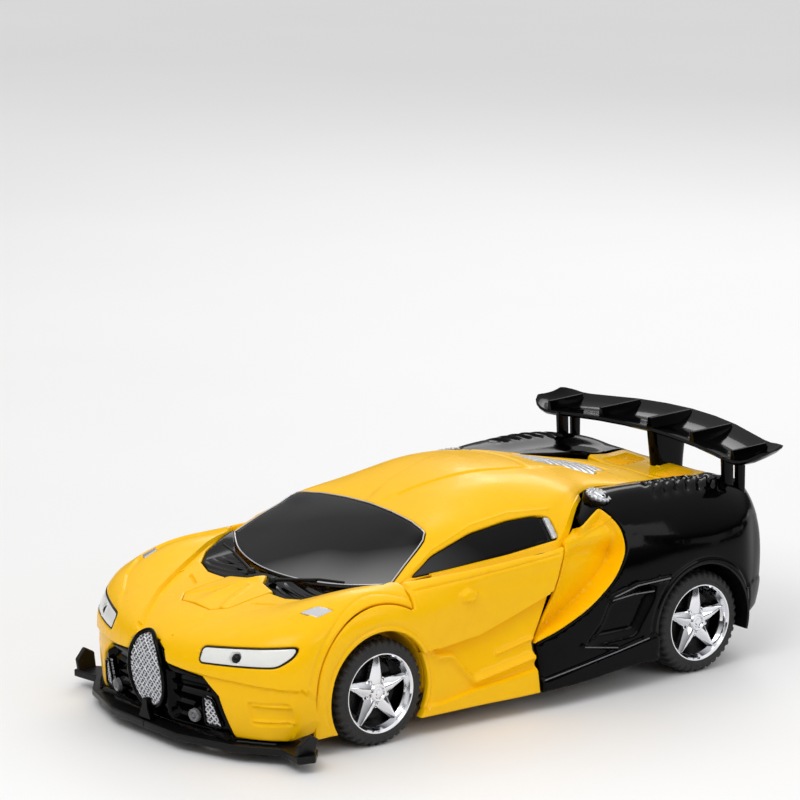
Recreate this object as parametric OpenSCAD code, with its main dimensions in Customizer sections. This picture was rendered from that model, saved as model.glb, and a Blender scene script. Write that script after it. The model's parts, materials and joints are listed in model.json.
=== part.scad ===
// Transforming robot car. Front of the car points to -Y, its left side to +X, ground at Z = 0.
// It rests as a car; one lift motor stands it up as a robot on its rear base.

/* [Wheels] */
// Outer radius of each tyre
tyre_r = 16.5; // [16:0.25:17]
// Width of each tyre
tyre_w = 14; // [12:0.5:14]
// Radius of the rim's outer edge
rim_r = 12.4; // [11:0.1:13]
// Distance from the centre plane to the outer face of a tyre
track_half = 51; // [50.5:0.5:51.5]
// Front axle position along Y
front_axle_y = -56.5; // [-57:0.5:-56]
// Rear axle position along Y
rear_axle_y = 71.5; // [71:0.5:72]

/* [Shells] */
// Wall of the outer shells
wall = 1.8; // [1.4:0.1:2.2]
// Gap between neighbouring shells
gap = 0.5; // [0.4:0.1:0.8]
// Radius of the panel line round the front wheel arch
arch_line_r = 24; // [23.5:0.25:24.5]
// Radius of the open wheel arch
arch_r = 18.6; // [18.2:0.1:19]

/* [Mechanism] */
// Lift hinge of the torso, along Y
lift_y = 32; // [31:0.5:33]
// Lift hinge of the torso, along Z
lift_z = 30; // [29:0.5:31]
// Cabin hinge, along Y
cabin_hinge_y = 76; // [75:0.5:77]
// Cabin hinge, along Z
cabin_hinge_z = 50.25; // [50:0.25:50.5]
// Hinge between the torso and the front clip, along Y
clip_hinge_y = -93.5; // [-94:0.5:-93]
// Hinge between the torso and the front clip, along Z
clip_hinge_z = 12; // [11.5:0.5:12.5]
// Pivot of each arm lever in the front clip, along Y
lever_y = -75.3; // [-75.5:0.1:-75.1]
// Distance of both lever pivots from the centre plane
lever_x = 30; // [29.5:0.25:30.5]
// Length of each arm lever between pivots
lever_len = 32.5; // [32:0.25:33]
// How far each lever leans inwards from straight back when stowed
lever_lean = 28; // [26:1:30]
// Teeth on the lift gear
lift_teeth = 40; // [40:1:40]
// Teeth on each small pinion
pinion_teeth = 10; // [10:1:10]
// Teeth on each drive axle gear
axle_teeth = 24; // [24:1:24]

/* [Hidden] */
$fn = 48;

yellow = "gold";
black = "#1c1c1e";
silver = "#c8c9cc";
big = 300;
axle_z = tyre_r;
running = 0.06;          // radial clearance of a shaft in its bore
tooth_module = 1;
lift_gear_r = lift_teeth * tooth_module / 2;
pinion_r = pinion_teeth * tooth_module / 2;
axle_gear_r = axle_teeth * tooth_module / 2;
lift_pinion_angle = -36; // direction of the lift pinion from the lift hinge
lift_pinion_y = lift_y + (lift_gear_r + pinion_r) * cos(lift_pinion_angle);
lift_pinion_z = lift_z + (lift_gear_r + pinion_r) * sin(lift_pinion_angle);
link_start = [-10, 24];   // link pivot on the torso
link_end = link_start + [cabin_hinge_y - lift_y, cabin_hinge_z - lift_z];
lever_tip_x = lever_x - lever_len * sin(lever_lean);
lever_tip_y = lever_y + lever_len * cos(lever_lean);
drive_motor_y = rear_axle_y + axle_gear_r + pinion_r;
boot_top = 60;
boot_front = 5.2;
boot_back = 27;
torso_back_y = lift_y + lift_z - boot_top - gap;   // end of the torso that lands on the boots
torso_top_z = 24.5;
roller_y = 13;
roller_z = 5;
roller_r = 4.6;
lever_z = 25.2;      // underside of the arm levers
lever_h = 4.8;
centre_y = 2.5;      // puts the origin under the middle of the car

// ---------- helpers ----------
module placed() {
    translate([0, -centre_y, 0]) children();
}
module left_right() {
    children();
    mirror([1, 0, 0]) children();
}
// a side profile in (y, z) extruded along X from x0 to x1
module side_slab(x0, x1) {
    translate([x0, 0, 0]) rotate([90, 0, 90]) linear_extrude(x1 - x0) children();
}
// a cylinder along X
module rod_x(x0, x1, y, z, r) {
    translate([x0, y, z]) rotate([0, 90, 0]) cylinder(r = r, h = x1 - x0);
}
module block(x0, x1, y0, y1, z0, z1) {
    translate([x0, y0, z0]) cube([x1 - x0, y1 - y0, z1 - z0]);
}

// ---------- smooth lofts through hand-set ribs ----------
function blend4(a, b, c, d, t) = 0.5 * (2 * b + (c - a) * t + (2 * a - 5 * b + 4 * c - d) * t * t
    + (3 * b - a - 3 * c + d) * t * t * t);
function smooth(p, n) = let (last = len(p) - 1)
    [for (i = [0 : last - 1], k = [0 : n - 1])
        blend4(p[max(i - 1, 0)], p[i], p[i + 1], p[min(i + 2, last)], k / n), p[last]];
function flip(g) = [for (j = [0 : len(g[0]) - 1]) [for (i = [0 : len(g) - 1]) g[i][j]]];
function both_sides(rib) = concat(
    [for (j = [len(rib) - 1 : -1 : 1]) [-rib[j][0], rib[j][1], rib[j][2]]], rib);
function surface_of(ribs, n) = flip(
    [for (c = flip([for (r = ribs) both_sides(smooth(r, n))])) smooth(c, n)]);
function unit(v) = v / max(norm(v), 1e-9);
function normals(g) = let (a = len(g) - 1, b = len(g[0]) - 1)
    [for (i = [0 : a]) [for (j = [0 : b])
        unit(cross(g[i][min(j + 1, b)] - g[i][max(j - 1, 0)], g[min(i + 1, a)][j] - g[max(i - 1, 0)][j]))]];
// solid skin between a surface and the same surface moved inwards
module skin(g, t) {
    n = normals(g);
    inner = [for (i = [0 : len(g) - 1]) [for (j = [0 : len(g[0]) - 1]) g[i][j] - t * n[i][j]]];
    rows = len(g);
    cols = len(g[0]);
    pts = concat([for (r = g, p = r) p], [for (r = inner, p = r) p]);
    low = rows * cols;
    faces = concat(
        [for (i = [0 : rows - 2], j = [0 : cols - 2], f = [
            [i * cols + j, (i + 1) * cols + j, i * cols + j + 1],
            [i * cols + j + 1, (i + 1) * cols + j, (i + 1) * cols + j + 1],
            [low + i * cols + j, low + i * cols + j + 1, low + (i + 1) * cols + j],
            [low + i * cols + j + 1, low + (i + 1) * cols + j + 1, low + (i + 1) * cols + j]]) f],
        [for (i = [0 : rows - 2], f = [
            [i * cols, low + i * cols, (i + 1) * cols],
                [(i + 1) * cols, low + i * cols, low + (i + 1) * cols],
            [i * cols + cols - 1, (i + 1) * cols + cols - 1, low + i * cols + cols - 1],
            [(i + 1) * cols + cols - 1, low + (i + 1) * cols + cols - 1, low + i * cols + cols - 1]]) f],
        [for (j = [0 : cols - 2], f = [
            [j, j + 1, low + j], [j + 1, low + j + 1, low + j],
            [(rows - 1) * cols + j, low + (rows - 1) * cols + j, (rows - 1) * cols + j + 1],
            [(rows - 1) * cols + j + 1, low + (rows - 1) * cols + j, low + (rows - 1) * cols + j + 1]]) f]);
    polyhedron(pts, faces);
}

// Ribs of the lower body, each from the centre line out to the sill: [x, y, z]
body_ribs = [
    [[0, -104.5, 6], [15, -103.5, 6], [30, -100, 6], [42, -94, 6], [48.5, -87, 6], [50, -83, 6],
        [50, -80, 6]],
    [[0, -106, 14], [15, -105, 14], [30, -101.5, 14], [42.5, -95, 14], [49, -88, 14], [50.5, -82, 11],
        [50, -77, 6]],
    [[0, -107, 22], [15, -106, 22], [30, -102, 22], [43, -95.5, 22], [49.8, -88, 22], [51, -80, 15],
        [50, -74, 6]],
    [[0, -107, 28], [14, -105.5, 29], [30, -101, 30], [43, -94.5, 30.5], [50, -86, 30], [51.5, -78, 20],
        [50, -70, 6]],
    [[0, -105, 33], [14, -102, 34.5], [30, -96, 36.5], [43, -89, 38], [50.3, -81, 36], [51.6, -74, 24],
        [50, -66, 6]],
    [[0, -96, 37.5], [14, -92, 38.5], [29, -87, 40.5], [42, -81, 42.5], [50.5, -75, 39], [51.7, -68, 26],
        [50, -61, 6]],
    [[0, -82, 40.5], [14, -80, 40.5], [28, -77, 42.5], [41, -72, 45.5], [50.5, -67, 41.5],
        [51.8, -62, 27], [50, -57, 6]],
    [[0, -68, 42.5], [14, -67, 42], [28, -65, 43.5], [41, -62, 47], [50.5, -59, 42.5], [52, -57, 27],
        [50, -54, 6]],
    [[0, -56, 44], [14, -54, 43.5], [28, -52, 44.2], [41.5, -51, 47.3], [50.3, -50, 42.5], [52, -49, 27],
        [50, -48, 6]],
    [[0, -42, 44], [14, -41, 44], [28, -40, 45], [43, -40, 47.5], [49.6, -40, 41.5], [51.5, -40, 26],
        [50.5, -40, 6]],
    [[0, -20, 44], [14, -20, 44], [30, -20, 46], [44.8, -20, 47.8], [48.3, -20, 41], [49.6, -20, 25],
        [51, -20, 6]],
    [[0, 0, 44], [14, 0, 44], [30, 0, 46], [45.2, 0, 48.3], [47.8, 0, 41], [49.2, 0, 25], [52, 0, 6]],
    [[0, 20, 48], [14, 20, 48], [30, 20, 50], [44.8, 20, 50], [48.3, 20, 42], [50, 20, 26],
        [52.5, 20, 6.5]],
    [[0, 40, 56], [14, 40, 56], [28, 40, 59], [41, 40, 59], [49.5, 40, 45], [51.8, 40, 27], [52, 40, 8]],
    [[0, 58, 57], [14, 58, 57], [28, 58, 59.4], [41, 58, 61], [51, 58, 47], [53, 58, 28], [52, 58, 8]],
    [[0, 75, 55.5], [14, 75, 55.5], [28, 75, 58.5], [41, 75, 61], [51.5, 75, 47], [53.3, 75, 28],
        [52, 74, 8]],
    [[0, 92, 54.5], [14, 92, 54.5], [27, 91, 56.2], [39.5, 90, 59], [50.3, 89, 47], [52.5, 88, 28],
        [51, 88, 14]],
    [[0, 102, 54.8], [14, 101.5, 55], [26, 100.5, 55.8], [37.5, 99.5, 55.6], [46.5, 97.5, 46],
        [50, 95, 28], [49, 94, 16]],
    [[0, 105.6, 50], [14, 105.6, 50], [25, 105, 50.5], [36, 104.2, 49.6], [44.6, 102, 41],
        [47.5, 99.5, 26], [47, 98, 17]],
    [[0, 105, 34], [14, 105, 34], [25, 104.6, 34], [36, 103.8, 33.5], [44, 101.6, 29], [46.5, 99.5, 22],
        [46, 98, 16.5]],
    [[0, 102, 17], [14, 102, 17], [25, 102, 16.5], [35, 101, 16.5], [42, 100, 16.5], [45, 99, 16.5],
        [46, 98, 16]]];
// Ribs of the cabin: windscreen, roof, side glass, and the spine that runs back to the cabin hinge
cabin_ribs = [
    [[0, -58, 43.5], [14, -56.5, 43.7], [28, -52, 44.6], [40.5, -44.5, 46.2], [42.2, -42.5, 46.4],
        [42.8, -41, 46.6]],
    [[0, -46, 49.5], [14, -45, 49.4], [27, -42, 49.4], [38.6, -37, 50.5], [41.4, -34, 48.8],
        [42.9, -32, 47.3]],
    [[0, -33, 55.7], [13, -32.5, 55.5], [25, -31, 55], [36, -30.5, 54], [40, -26, 51], [43, -23, 47.6]],
    [[0, -21, 60.5], [13, -21.3, 60.2], [24, -22.5, 59.3], [33.5, -24, 57.6], [39, -16, 53], [43, -12, 48]],
    [[0, -8, 65], [13, -8, 64.6], [24, -8, 63], [33, -8, 59.6], [38.6, -3, 54.5], [43, 0, 48.4]],
    [[0, 8, 68], [13, 8, 67.5], [24, 8, 65.8], [33.2, 8, 61], [38.4, 9, 55.5], [43, 10, 49]],
    [[0, 22, 68.3], [13, 22, 67.8], [24, 22, 66], [33.6, 22, 61.5], [38.8, 21, 56], [42.8, 19.5, 50]],
    [[0, 33, 67], [12, 33, 66.6], [22, 32.5, 65.2], [30, 32, 62.8], [34, 31, 60.6], [37, 30, 58.4]],
    [[0, 46, 64.4], [9, 46, 64.1], [16, 46, 63.3], [22, 45.5, 62], [25, 45, 60.8], [26.6, 44.5, 59.6]],
    [[0, 61, 60.6], [8, 61, 60.4], [14, 61, 60], [19, 61, 59.4], [22, 61, 58.8], [23.8, 61, 58.2]],
    [[0, 83.2, 55.4], [7, 83.2, 55.3], [12, 83.2, 55.1], [16, 83.2, 55], [18.5, 83.2, 54.8],
        [20.4, 83.2, 54.4]]];
cad_steps = 2;   // points per rib span in this model
body_surface = surface_of(body_ribs, cad_steps);
cabin_surface = surface_of(cabin_ribs, cad_steps);

// ---------- panel lines, as side profiles in (y, z) and plans in (x, y) ----------
function arc(y, z, r, a0, a1, n) = [for (i = [0 : n])
    let (a = a0 + (a1 - a0) * i / n) [y + r * cos(a), z + r * sin(a)]];
arch_z = 20;
sill_line = [[-43.4, 47.2], [-20, 47.6], [0, 48.1], [19, 49.6]];
door_back_line = [[19, 49.6], [15.5, 41], [12, 34], [8, 27.5], [4, 21.5], [4.4, 2]];
curve_line = [[27, 62], [36, 59], [41.5, 52], [41.5, 45], [36, 36.5], [26, 28.5], [14, 23.5], [4.5, 21.2]];
module door_profile(inset) {
    offset(delta = -inset) polygon(concat(
        [[4.4, 2], [-80, 2]],
        arc(front_axle_y, arch_z, arch_line_r, 168, 54, 16),
        [[-43.4, 46.8], [-43.4, 52], [19.9, 52]], door_back_line));
}
module clip_plan() {
    polygon([[-70, -120], [70, -120], [70, -43.8], [45, -43.8], [41.5, -48], [28, -55], [14, -59.5],
        [0, -61],
        [-14, -59.5], [-28, -55], [-41.5, -48], [-45, -43.8], [-70, -43.8]]);
}
module flap_plan(grow) {
    offset(delta = grow) polygon([[-11, -40], [-11, -84], [-7, -88], [7, -88], [11, -84], [11, -40]]);
}
module spine_plan(grow) {
    offset(delta = grow) polygon([[-60, 10], [-42.6, 20], [-37, 30], [-26.8, 44.5], [-24, 61],
        [-20.6, 80], [-20.6, 84],
        [20.6, 84], [20.6, 80], [24, 61], [26.8, 44.5], [37, 30], [42.6, 20], [60, 10]]);
}
// small ribs inside a shell, as the moulding has
module stiffeners(x, y0, z, n, pitch) {
    for (i = [0 : n - 1]) hull() {
        translate([x - 1, y0 + i * pitch, z]) cube([2, 1.2, 3]);
        translate([x - 0.5, y0 + i * pitch, z - 2]) cube([1, 1.2, 3]);
    }
}

// ---------- wheels ----------
module tyre(side, y) {
    groove_w = 1.1;
    color(black) translate([side * (track_half - tyre_w / 2), y, axle_z]) rotate([0, 90, 0]) difference() {
        rotate_extrude($fn = 72) polygon([[rim_r - 0.6, -tyre_w / 2 + 0.8], [rim_r, -tyre_w / 2],
            [tyre_r - 1.2, -tyre_w / 2],
            [tyre_r, -tyre_w / 2 + 1.4], [tyre_r, tyre_w / 2 - 1.4], [tyre_r - 1.2, tyre_w / 2],
                [rim_r, tyre_w / 2],
            [rim_r - 0.6, tyre_w / 2 - 0.8]]);
        for (z = [-3.4, 0, 3.4]) translate([0, 0, z - groove_w / 2]) difference() {
            cylinder(r = tyre_r + 1, h = groove_w);
            translate([0, 0, -1]) cylinder(r = tyre_r - 0.7, h = groove_w + 2);
        }
    }
}
// rim with its outer face pointing away from the car; bore is the shaft hole's radius
module rim(side, y, bore) {
    face = tyre_w / 2 - 0.3;
    color(silver) translate([side * (track_half - tyre_w / 2), y, axle_z])
    rotate([0, side * 90, 0]) difference() {
        union() {
            rotate_extrude($fn = 72) polygon([[rim_r - 2, -face], [rim_r - 0.7, -face], [rim_r - 0.7, face],
                [rim_r - 1.3, face], [rim_r - 2, face - 1.2]]);
            translate([0, 0, face - 3.4]) linear_extrude(2.8) {
                circle(r = 4);
                for (a = [0 : 72 : 288]) rotate(a) polygon([[-2.6, 0], [-1.5, rim_r - 1.6],
                    [1.5, rim_r - 1.6], [2.6, 0]]);
            }
            translate([0, 0, -face + 0.5]) cylinder(r = 3.6, h = 2 * face - 2);
        }
        translate([0, 0, -tyre_w]) cylinder(r = bore, h = 2 * tyre_w - 3);
    }
}

// ---------- gears ----------
function involute(base, t) = [
    base * (cos(t) + t * PI / 180 * sin(t)), base * (sin(t) - t * PI / 180 * cos(t))];
function turned(p, a) = [p[0] * cos(a) - p[1] * sin(a), p[0] * sin(a) + p[1] * cos(a)];
function roll_at(base, r) = sqrt(max(pow(r / base, 2) - 1, 0)) * 180 / PI;
// half angle of a tooth at the base circle, thinned by the backlash
function tooth_half(n, r, base, play) = 90 / n + roll_at(base, r) - atan(roll_at(base, r) * PI / 180)
    - play / r * 90 / PI;
module gear_plan(n, first = 0, last = -1) {
    r = n * tooth_module / 2;
    base = r * cos(20);
    tip = r + 0.9 * tooth_module;
    root = r - 1.2 * tooth_module;
    half = tooth_half(n, r, base, 0.14);
    stop = last < 0 ? n - 1 : last;
    union() {
        circle(r = root + 0.01, $fn = 96);
        for (k = [first : stop]) rotate(k * 360 / n) polygon(concat(
            [[0, 0], turned([root - 0.2, 0], -half)],
            [for (i = [0 : 4]) turned(involute(base, roll_at(base, tip) * i / 4), -half)],
            [for (i = [4 : -1 : 0])
                let (p = involute(base, roll_at(base, tip) * i / 4)) turned([p[0], -p[1]], half)],
            [turned([root - 0.2, 0], half)]));
    }
}
// a gear standing in the (y, z) plane, turned by a degrees, between x0 and x1
module gear_x(n, x0, x1, y, z, a, bore, first = 0, last = -1) {
    translate([0, y, z]) side_slab(x0, x1) difference() {
        rotate(a) gear_plan(n, first, last);
        circle(r = bore);
    }
}

// ---------- rear base ----------
module base_chassis() {
    color(black) difference() {
        union() {
            block(-33, 33, 34, 98, 3.5, 5.5);
            block(-26, 26, 4.4, 36, 3.9, 6.5);
            left_right() {
                block(31, 33, 40, 98, 5, 26);
                block(29.6, 33, 27, 37, 5, 28);
                rod_x(29.6, 33, lift_y, lift_z, 5);
                block(29.6, 33, 27, 37, 20, lift_z);
                block(33, 36, 66, 77, 5, 24);
                block(6, 24, 80.4, 81.8, 5, 12);
                block(7.2, 9, 66, 77, 5, 20.4);
            }
            block(-33, 33, 97, 99, 5, 26);
            block(5, 8, lift_pinion_y - 5, lift_pinion_y + 5, 5, 20);
            block(-8, -5, lift_pinion_y - 5, lift_pinion_y + 5, 5, 20);
        }
        rod_x(-40, 40, lift_y, lift_z, 2 + running);
        rod_x(-40, 40, rear_axle_y, axle_z, 1.5 + running);
        rod_x(-9, 9, lift_pinion_y, lift_pinion_z, 1.5 + running);
        rod_x(-24, 24, roller_y, roller_z, 1 + running);
        left_right() {
            for (y = [44, 94]) translate([28.5, y, 0]) {
                cylinder(r = 1.2, h = 12);
                cylinder(r = 2.3, h = 4.6);
            }
            block(10.6, 21.4, roller_y - 5, roller_y + 5, 3, 7);
            block(25.4, 30.6, 58, 86, 3, 7);
        }
        block(-26.6, -4.6, 42.6, 66.6, 3, 6);
        block(12, 17, 84, 91, 3, 6);
    }
}
module base_deck() {
    color(black) difference() {
        union() {
            block(-33, 33, 57, 97, 26.4, 28);
            left_right() {
                rod_x(8.6, 12.6, cabin_hinge_y, cabin_hinge_z, 3.2);
                block(8.6, 12.6, cabin_hinge_y - 3.1, cabin_hinge_y + 3.1, 27, cabin_hinge_z);
                block(24, 26, 87, 97, 27, 44);
            }
        }
        rod_x(-14, 14, cabin_hinge_y, cabin_hinge_z, 1.5 + running);
        left_right() block(25.4, 30.6, 57.5, 86, 26, 29);
        block(-19, 19, 84, 92, 26, 29);
    }
}
module battery_pack() {
    color("steelblue") for (z = [0, 1]) block(-25.6, -8.4, 43.6 + z * 10.2, 53.6 + z * 10.2, 5.5, 20.4);
}
module battery_cover() {
    color(black) union() {
        block(-26.2, -5, 43, 64.2, 3.8, 5.2);
        block(-24, -7, 64.2, 66.2, 3.8, 5.2);
    }
}
module circuit_board() {
    color("seagreen") union() {
        block(-20, 20, 60, 94, 23.4, 24.8);
        block(-12, -4, 66, 78, 20.6, 23.4);
        block(4, 10, 62, 68, 21.6, 23.4);
        block(-4, 3, 84, 93, 21, 23.4);
    }
}
module lift_motor() {
    color(silver) difference() {
        union() {
            rod_x(9, 24, lift_pinion_y, lift_pinion_z, 7);
            rod_x(24, 25.2, lift_pinion_y, lift_pinion_z, 2.6);
        }
        rod_x(8, 12, lift_pinion_y, lift_pinion_z, 1.5 + running);
    }
}
module drive_motors() {
    color(silver) left_right() difference() {
        union() {
            rod_x(6, 24.5, drive_motor_y, axle_z, 6);
            rod_x(4.6, 6, drive_motor_y, axle_z, 2.4);
        }
        rod_x(20, 25, drive_motor_y, axle_z, 1 + running);
    }
}
module motor_pinion(s) {
    color("white") union() {
        gear_x(pinion_teeth, s > 0 ? 26 : -30, s > 0 ? 30 : -26, drive_motor_y, axle_z,
            180 / pinion_teeth + 180, 0.99);
        rod_x(s > 0 ? 20.5 : -29, s > 0 ? 29 : -20.5, drive_motor_y, axle_z, 1);
    }
}
module lift_pinion() {
    color("white") union() {
        gear_x(pinion_teeth, -3.4, 3.4, lift_pinion_y, lift_pinion_z,
            lift_pinion_angle + 180 + 180 / pinion_teeth, 1.49);
        rod_x(-7.6, 11.5, lift_pinion_y, lift_pinion_z, 1.5);
    }
}
module power_switch() {
    color(black) union() {
        block(12.9, 16.1, 85, 87.6, 3.8, 6.2);
        block(11, 18, 84.4, 88.2, 5.8, 7.2);
    }
}
module quarter_mask() {
    difference() {
        side_slab(0, 70) polygon(concat([[27.3, 70], [115, 70], [115, 5], [52.5, 5], [52.5, 6.2],
            [5.2, 2], [5.2, 20.6]],
            [for (i = [len(curve_line) - 2 : -1 : 0]) curve_line[i] + [gap / 2, 0]]));
        translate([0, 0, 20]) linear_extrude(70) spine_plan(gap);
        translate([0, 0, 46]) linear_extrude(30) rear_deck_plan(gap / 2);
        translate([0, 0, 42.9]) linear_extrude(30) polygon([[-23, 75], [23, 75], [23, 84.9], [-23, 84.9]]);
        rod_x(20, 80, rear_axle_y, axle_z + 0.5, arch_r + 0.9);
    }
}
module rear_deck_plan(grow) {
    offset(delta = grow) polygon([[-20.4, 84.9], [20.4, 84.9], [21.6, 86.5], [20, 101.4], [-20, 101.4],
        [-21.6, 86.5]]);
}
module quarter() {
    color(black) intersection() {
        union() {
            skin(body_surface, wall);
            for (i = [0 : 7]) hull() {
                block(40, 48.2, 8 + i * 6, 9.5 + i * 6, 9, 11);
                block(44, 48.6, 8 + i * 6, 9.5 + i * 6, 14, 16);
            }
            block(33.6, 49, 8, 51, 8, 10);
            block(24.2, 46, 99.05, 100.6, 20, 40);
        }
        difference() {
            quarter_mask();
            block(-80, 0.3, -200, 200, -10, 100);
            cap_seat();
            spoiler_pillars();
            tail_lights();
        }
    }
}
module side_curve() {
    color(yellow) intersection() {
        union() {
            skin(body_surface, wall);
            for (i = [0 : 7]) hull() {
                block(41, 46.5, 22 + i * 1.6, 22.8 + i * 1.6, 36, 40);
                block(43, 46.5, 22 + i * 1.6, 22.8 + i * 1.6, 42, 44);
            }
        }
        difference() {
            side_slab(30, 70) difference() {
                polygon(concat([for (p = curve_line) p - [gap / 2, 0]], [[8.5, 22.4]],
                    [for (i = [len(door_back_line) - 2 : -1 : 0]) door_back_line[i] + [gap, 0]],
                        [[26, 61.5]]));
                polygon([[0, 0], [4.9, 0], [4.9, 30], [0, 30]]);
            }
            translate([0, 0, 20]) linear_extrude(70) spine_plan(gap);
            cap_seat();
        }
    }
}
module rear_deck() {
    color(yellow) difference() {
        intersection() {
            union() {
                skin(body_surface, wall);
                stiffeners(0, 85, 51.4, 8, 1.9);
            }
            translate([0, 0, 46.2]) linear_extrude(30) rear_deck_plan(0);
        }
        spoiler_pillars();
    }
}
module tail_lights() {
    color("red") left_right() hull() {
        translate([22, 105.3, 38.4]) rotate([0, 90, 0]) cylinder(r = 1.5, h = 1, $fn = 16);
        translate([38, 103.3, 38.4]) rotate([0, 90, 0]) cylinder(r = 1.3, h = 1, $fn = 16);
    }
}
module spoiler_pillars() {
    left_right() side_slab(39.4, 42.2) polygon([[88.5, 50], [97, 49], [98, 70], [88, 68]]);
    side_slab(-2.2, 2.2) polygon([[96, 47], [103.6, 47], [106, 69.8], [93.6, 66]]);
}
// the wing's section, moved along Y and Z and scaled along its chord
function wing_section(y, z, k) = [for (p = [[0, 0], [4, -0.8], [14, 1], [20, 2.4], [21, 3.2],
    [19.6, 3.6], [13, 2.2],
    [2, 1.2]]) [y + p[0] * k, z + p[1]]];
module spoiler() {
    color(black) difference() {
        union() {
            left_right() {
                hull() {
                    side_slab(0, 0.1) polygon(wing_section(92, 66.4, 1));
                    side_slab(44, 44.1) polygon(wing_section(87.4, 65.4, 0.76));
                }
                hull() {
                    side_slab(44, 44.1) polygon(wing_section(87.4, 65.4, 0.76));
                    side_slab(54.4, 55) polygon(wing_section(88.8, 68.4, 0.44));
                }
            }
            difference() {
                spoiler_pillars();
                left_right() side_slab(-1, 60) polygon([[80, 66.4], [92, 67.4], [113, 71], [113, 80],
                    [80, 80]]);
            }
        }
    }
}
module cap_seat() {
    translate([37.4, 39.5, 59.4]) rotate([-6, 20, 0]) translate([0, 0, -2.4]) cylinder(r = 4.7, h = 8);
}
module intake_caps() {
    color(silver) left_right() translate([37.4, 39.5, 59.4]) rotate([-6, 20, 0]) difference() {
        translate([0, 0, -1.9]) cylinder(r1 = 4.5, r2 = 4.1, h = 4.1);
        translate([0, 0, 1.2]) cylinder(r = 2.6, h = 2);
    }
}
module boots() {
    color(silver) left_right() difference() {
        union() {
            side_slab(8.4, 24.4) polygon([[boot_front, 26], [boot_front + 0.4, boot_top - 4],
                [boot_front + 3.6, boot_top], [boot_back - 3, boot_top], [boot_back, 30], [boot_back, 6.5],
                [boot_front + 2, 6.5], [boot_front, 14]]);
            block(7.4, 25, boot_front, boot_front + 17, 6.5, 12);
        }
        rod_x(0, 30, roller_y, roller_z, roller_r + 0.4);
    }
}
module foot_rollers() {
    color("#3a3a3c") left_right() union() {
        rod_x(11, 21, roller_y, roller_z, roller_r);
        rod_x(9.4, 22.6, roller_y, roller_z, 1);
    }
}
module lift_hinge_pin() {
    color(silver) rod_x(-34.2, 34.2, lift_y, lift_z, 2);
}
module cabin_hinge_pin() {
    color(silver) rod_x(-12.6, 12.6, cabin_hinge_y, cabin_hinge_z, 1.5);
}
module rear_axle(s) {
    color(silver) union() {
        rod_x(s > 0 ? 6 : -track_half + 2, s > 0 ? track_half - 2 : -6, rear_axle_y, axle_z, 1.5);
        gear_x(axle_teeth, s > 0 ? 26 : -30, s > 0 ? 30 : -26, rear_axle_y, axle_z, 0, 1.49);
    }
}

// ---------- torso: lies flat under the car, its face down; stands up as the robot's body ----------
module torso_frame() {
    color(black) difference() {
        union() {
            left_right() {
                block(12.5, 19, clip_hinge_y, -74, 8.4, 17);
                rod_x(12.5, 19, clip_hinge_y, clip_hinge_z, 5);
                side_slab(6, 22) polygon([[-28, 9], [-10, 12.5], [-10, 6.4], [0.4, 6.4], [-5.4, 20],
                    [-14, 22],
                    [-28, 22]]);
                side_slab(25.4, 28.8) polygon([[-24, 10], [-4, 9], [8, 18], [lift_y + 2, lift_z - 4.6],
                    [lift_y - 3, lift_z + 4.6], [-4, 27.5], [-12, 28.5], [-24, 20]]);
                rod_x(25.4, 28.8, lift_y, lift_z, 5.4);
                block(22, 26, -24, -12, 12.5, 20);
            }
            block(-19, 19, -78, -74, 8.4, 17);
            block(-22, 22, -76, -44, 8.2, torso_top_z);
            block(-24, 24, -46, -28, 9, 22);
            block(-6, 6, -28, -12, 9, 20);
            side_slab(-3.3, 3.3) polygon([[-12, 9], [-4, 8], [torso_back_y, 8], [lift_y - 10, lift_z - 12],
                [lift_y - 10, lift_z + 12], [-12, 20]]);
        }
        block(-10.6, 10.6, -80, -57, 8.9, 40);
        block(-13.4, 13.4, -66.8, -57, 8.9, 40);
        rod_x(-30, 30, clip_hinge_y, clip_hinge_z, 2 + running);
        rod_x(-30, 30, lift_y, lift_z, 2 + running);
        left_right() rod_x(24, 33, link_start[0], link_start[1], 1.5);
    }
}
module chest_plate() {
    color(silver) union() {
        translate([0, 0, 3]) linear_extrude(5.2) polygon([[0, -57.6], [-8, -64], [-13, -61.5],
            [-27, -73], [-25.5, -75.5],
            [-19, -77.6], [-8, -76], [-5, -78], [0, -75.5], [5, -78], [8, -76], [19, -77.6],
                [25.5, -75.5], [27, -73],
            [13, -61.5], [8, -64]]);
        translate([0, 0, 3.8]) linear_extrude(4.4) difference() {
            polygon([[-21, -66.5], [-17, -54.5], [-9, -51.5], [-5, -45.6], [5, -45.6], [9, -51.5],
                [17, -54.5],
                [21, -66.5]]);
            polygon([[-22.5, -69.5], [-15.2, -57], [-7.6, -53.6], [-3.6, -48.6], [3.6, -48.6], [7.6, -53.6],
                [15.2, -57], [22.5, -69.5]]);
        }
    }
}
module chest_inlay() {
    color(yellow) translate([0, 0, 4]) linear_extrude(4.2) difference() {
        polygon([[-18, -62.2], [-15, -57.2], [-7.5, -53.8], [-3.5, -48.8], [3.5, -48.8], [7.5, -53.8],
            [15, -57.2],
            [18, -62.2]]);
        polygon([[0, -57.3], [-8, -63.7], [-13, -61.2], [-20, -66.9], [-20, -72], [20, -72], [20, -66.9],
            [13, -61.2], [8, -63.7]]);
    }
}
module waist_plate() {
    color(silver) union() {
        translate([0, 0, 3]) linear_extrude(5.9) difference() {
            polygon([[-6, -42], [6, -42], [8, -38], [8, -32], [22, -44], [27, -42], [27.5, -36],
                [24, -30], [6.5, -14],
                [5, -22], [-5, -22], [-6.5, -14], [-24, -30], [-27.5, -36], [-27, -42], [-22, -44],
                    [-8, -32], [-8, -38]]);
            left_right() polygon([[8.6, -30], [20.8, -40.6], [22.6, -35], [10, -23]]);
        }
        left_right() block(9, 23, -9.8, torso_back_y, 3.2, 6.4);
    }
}
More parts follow.
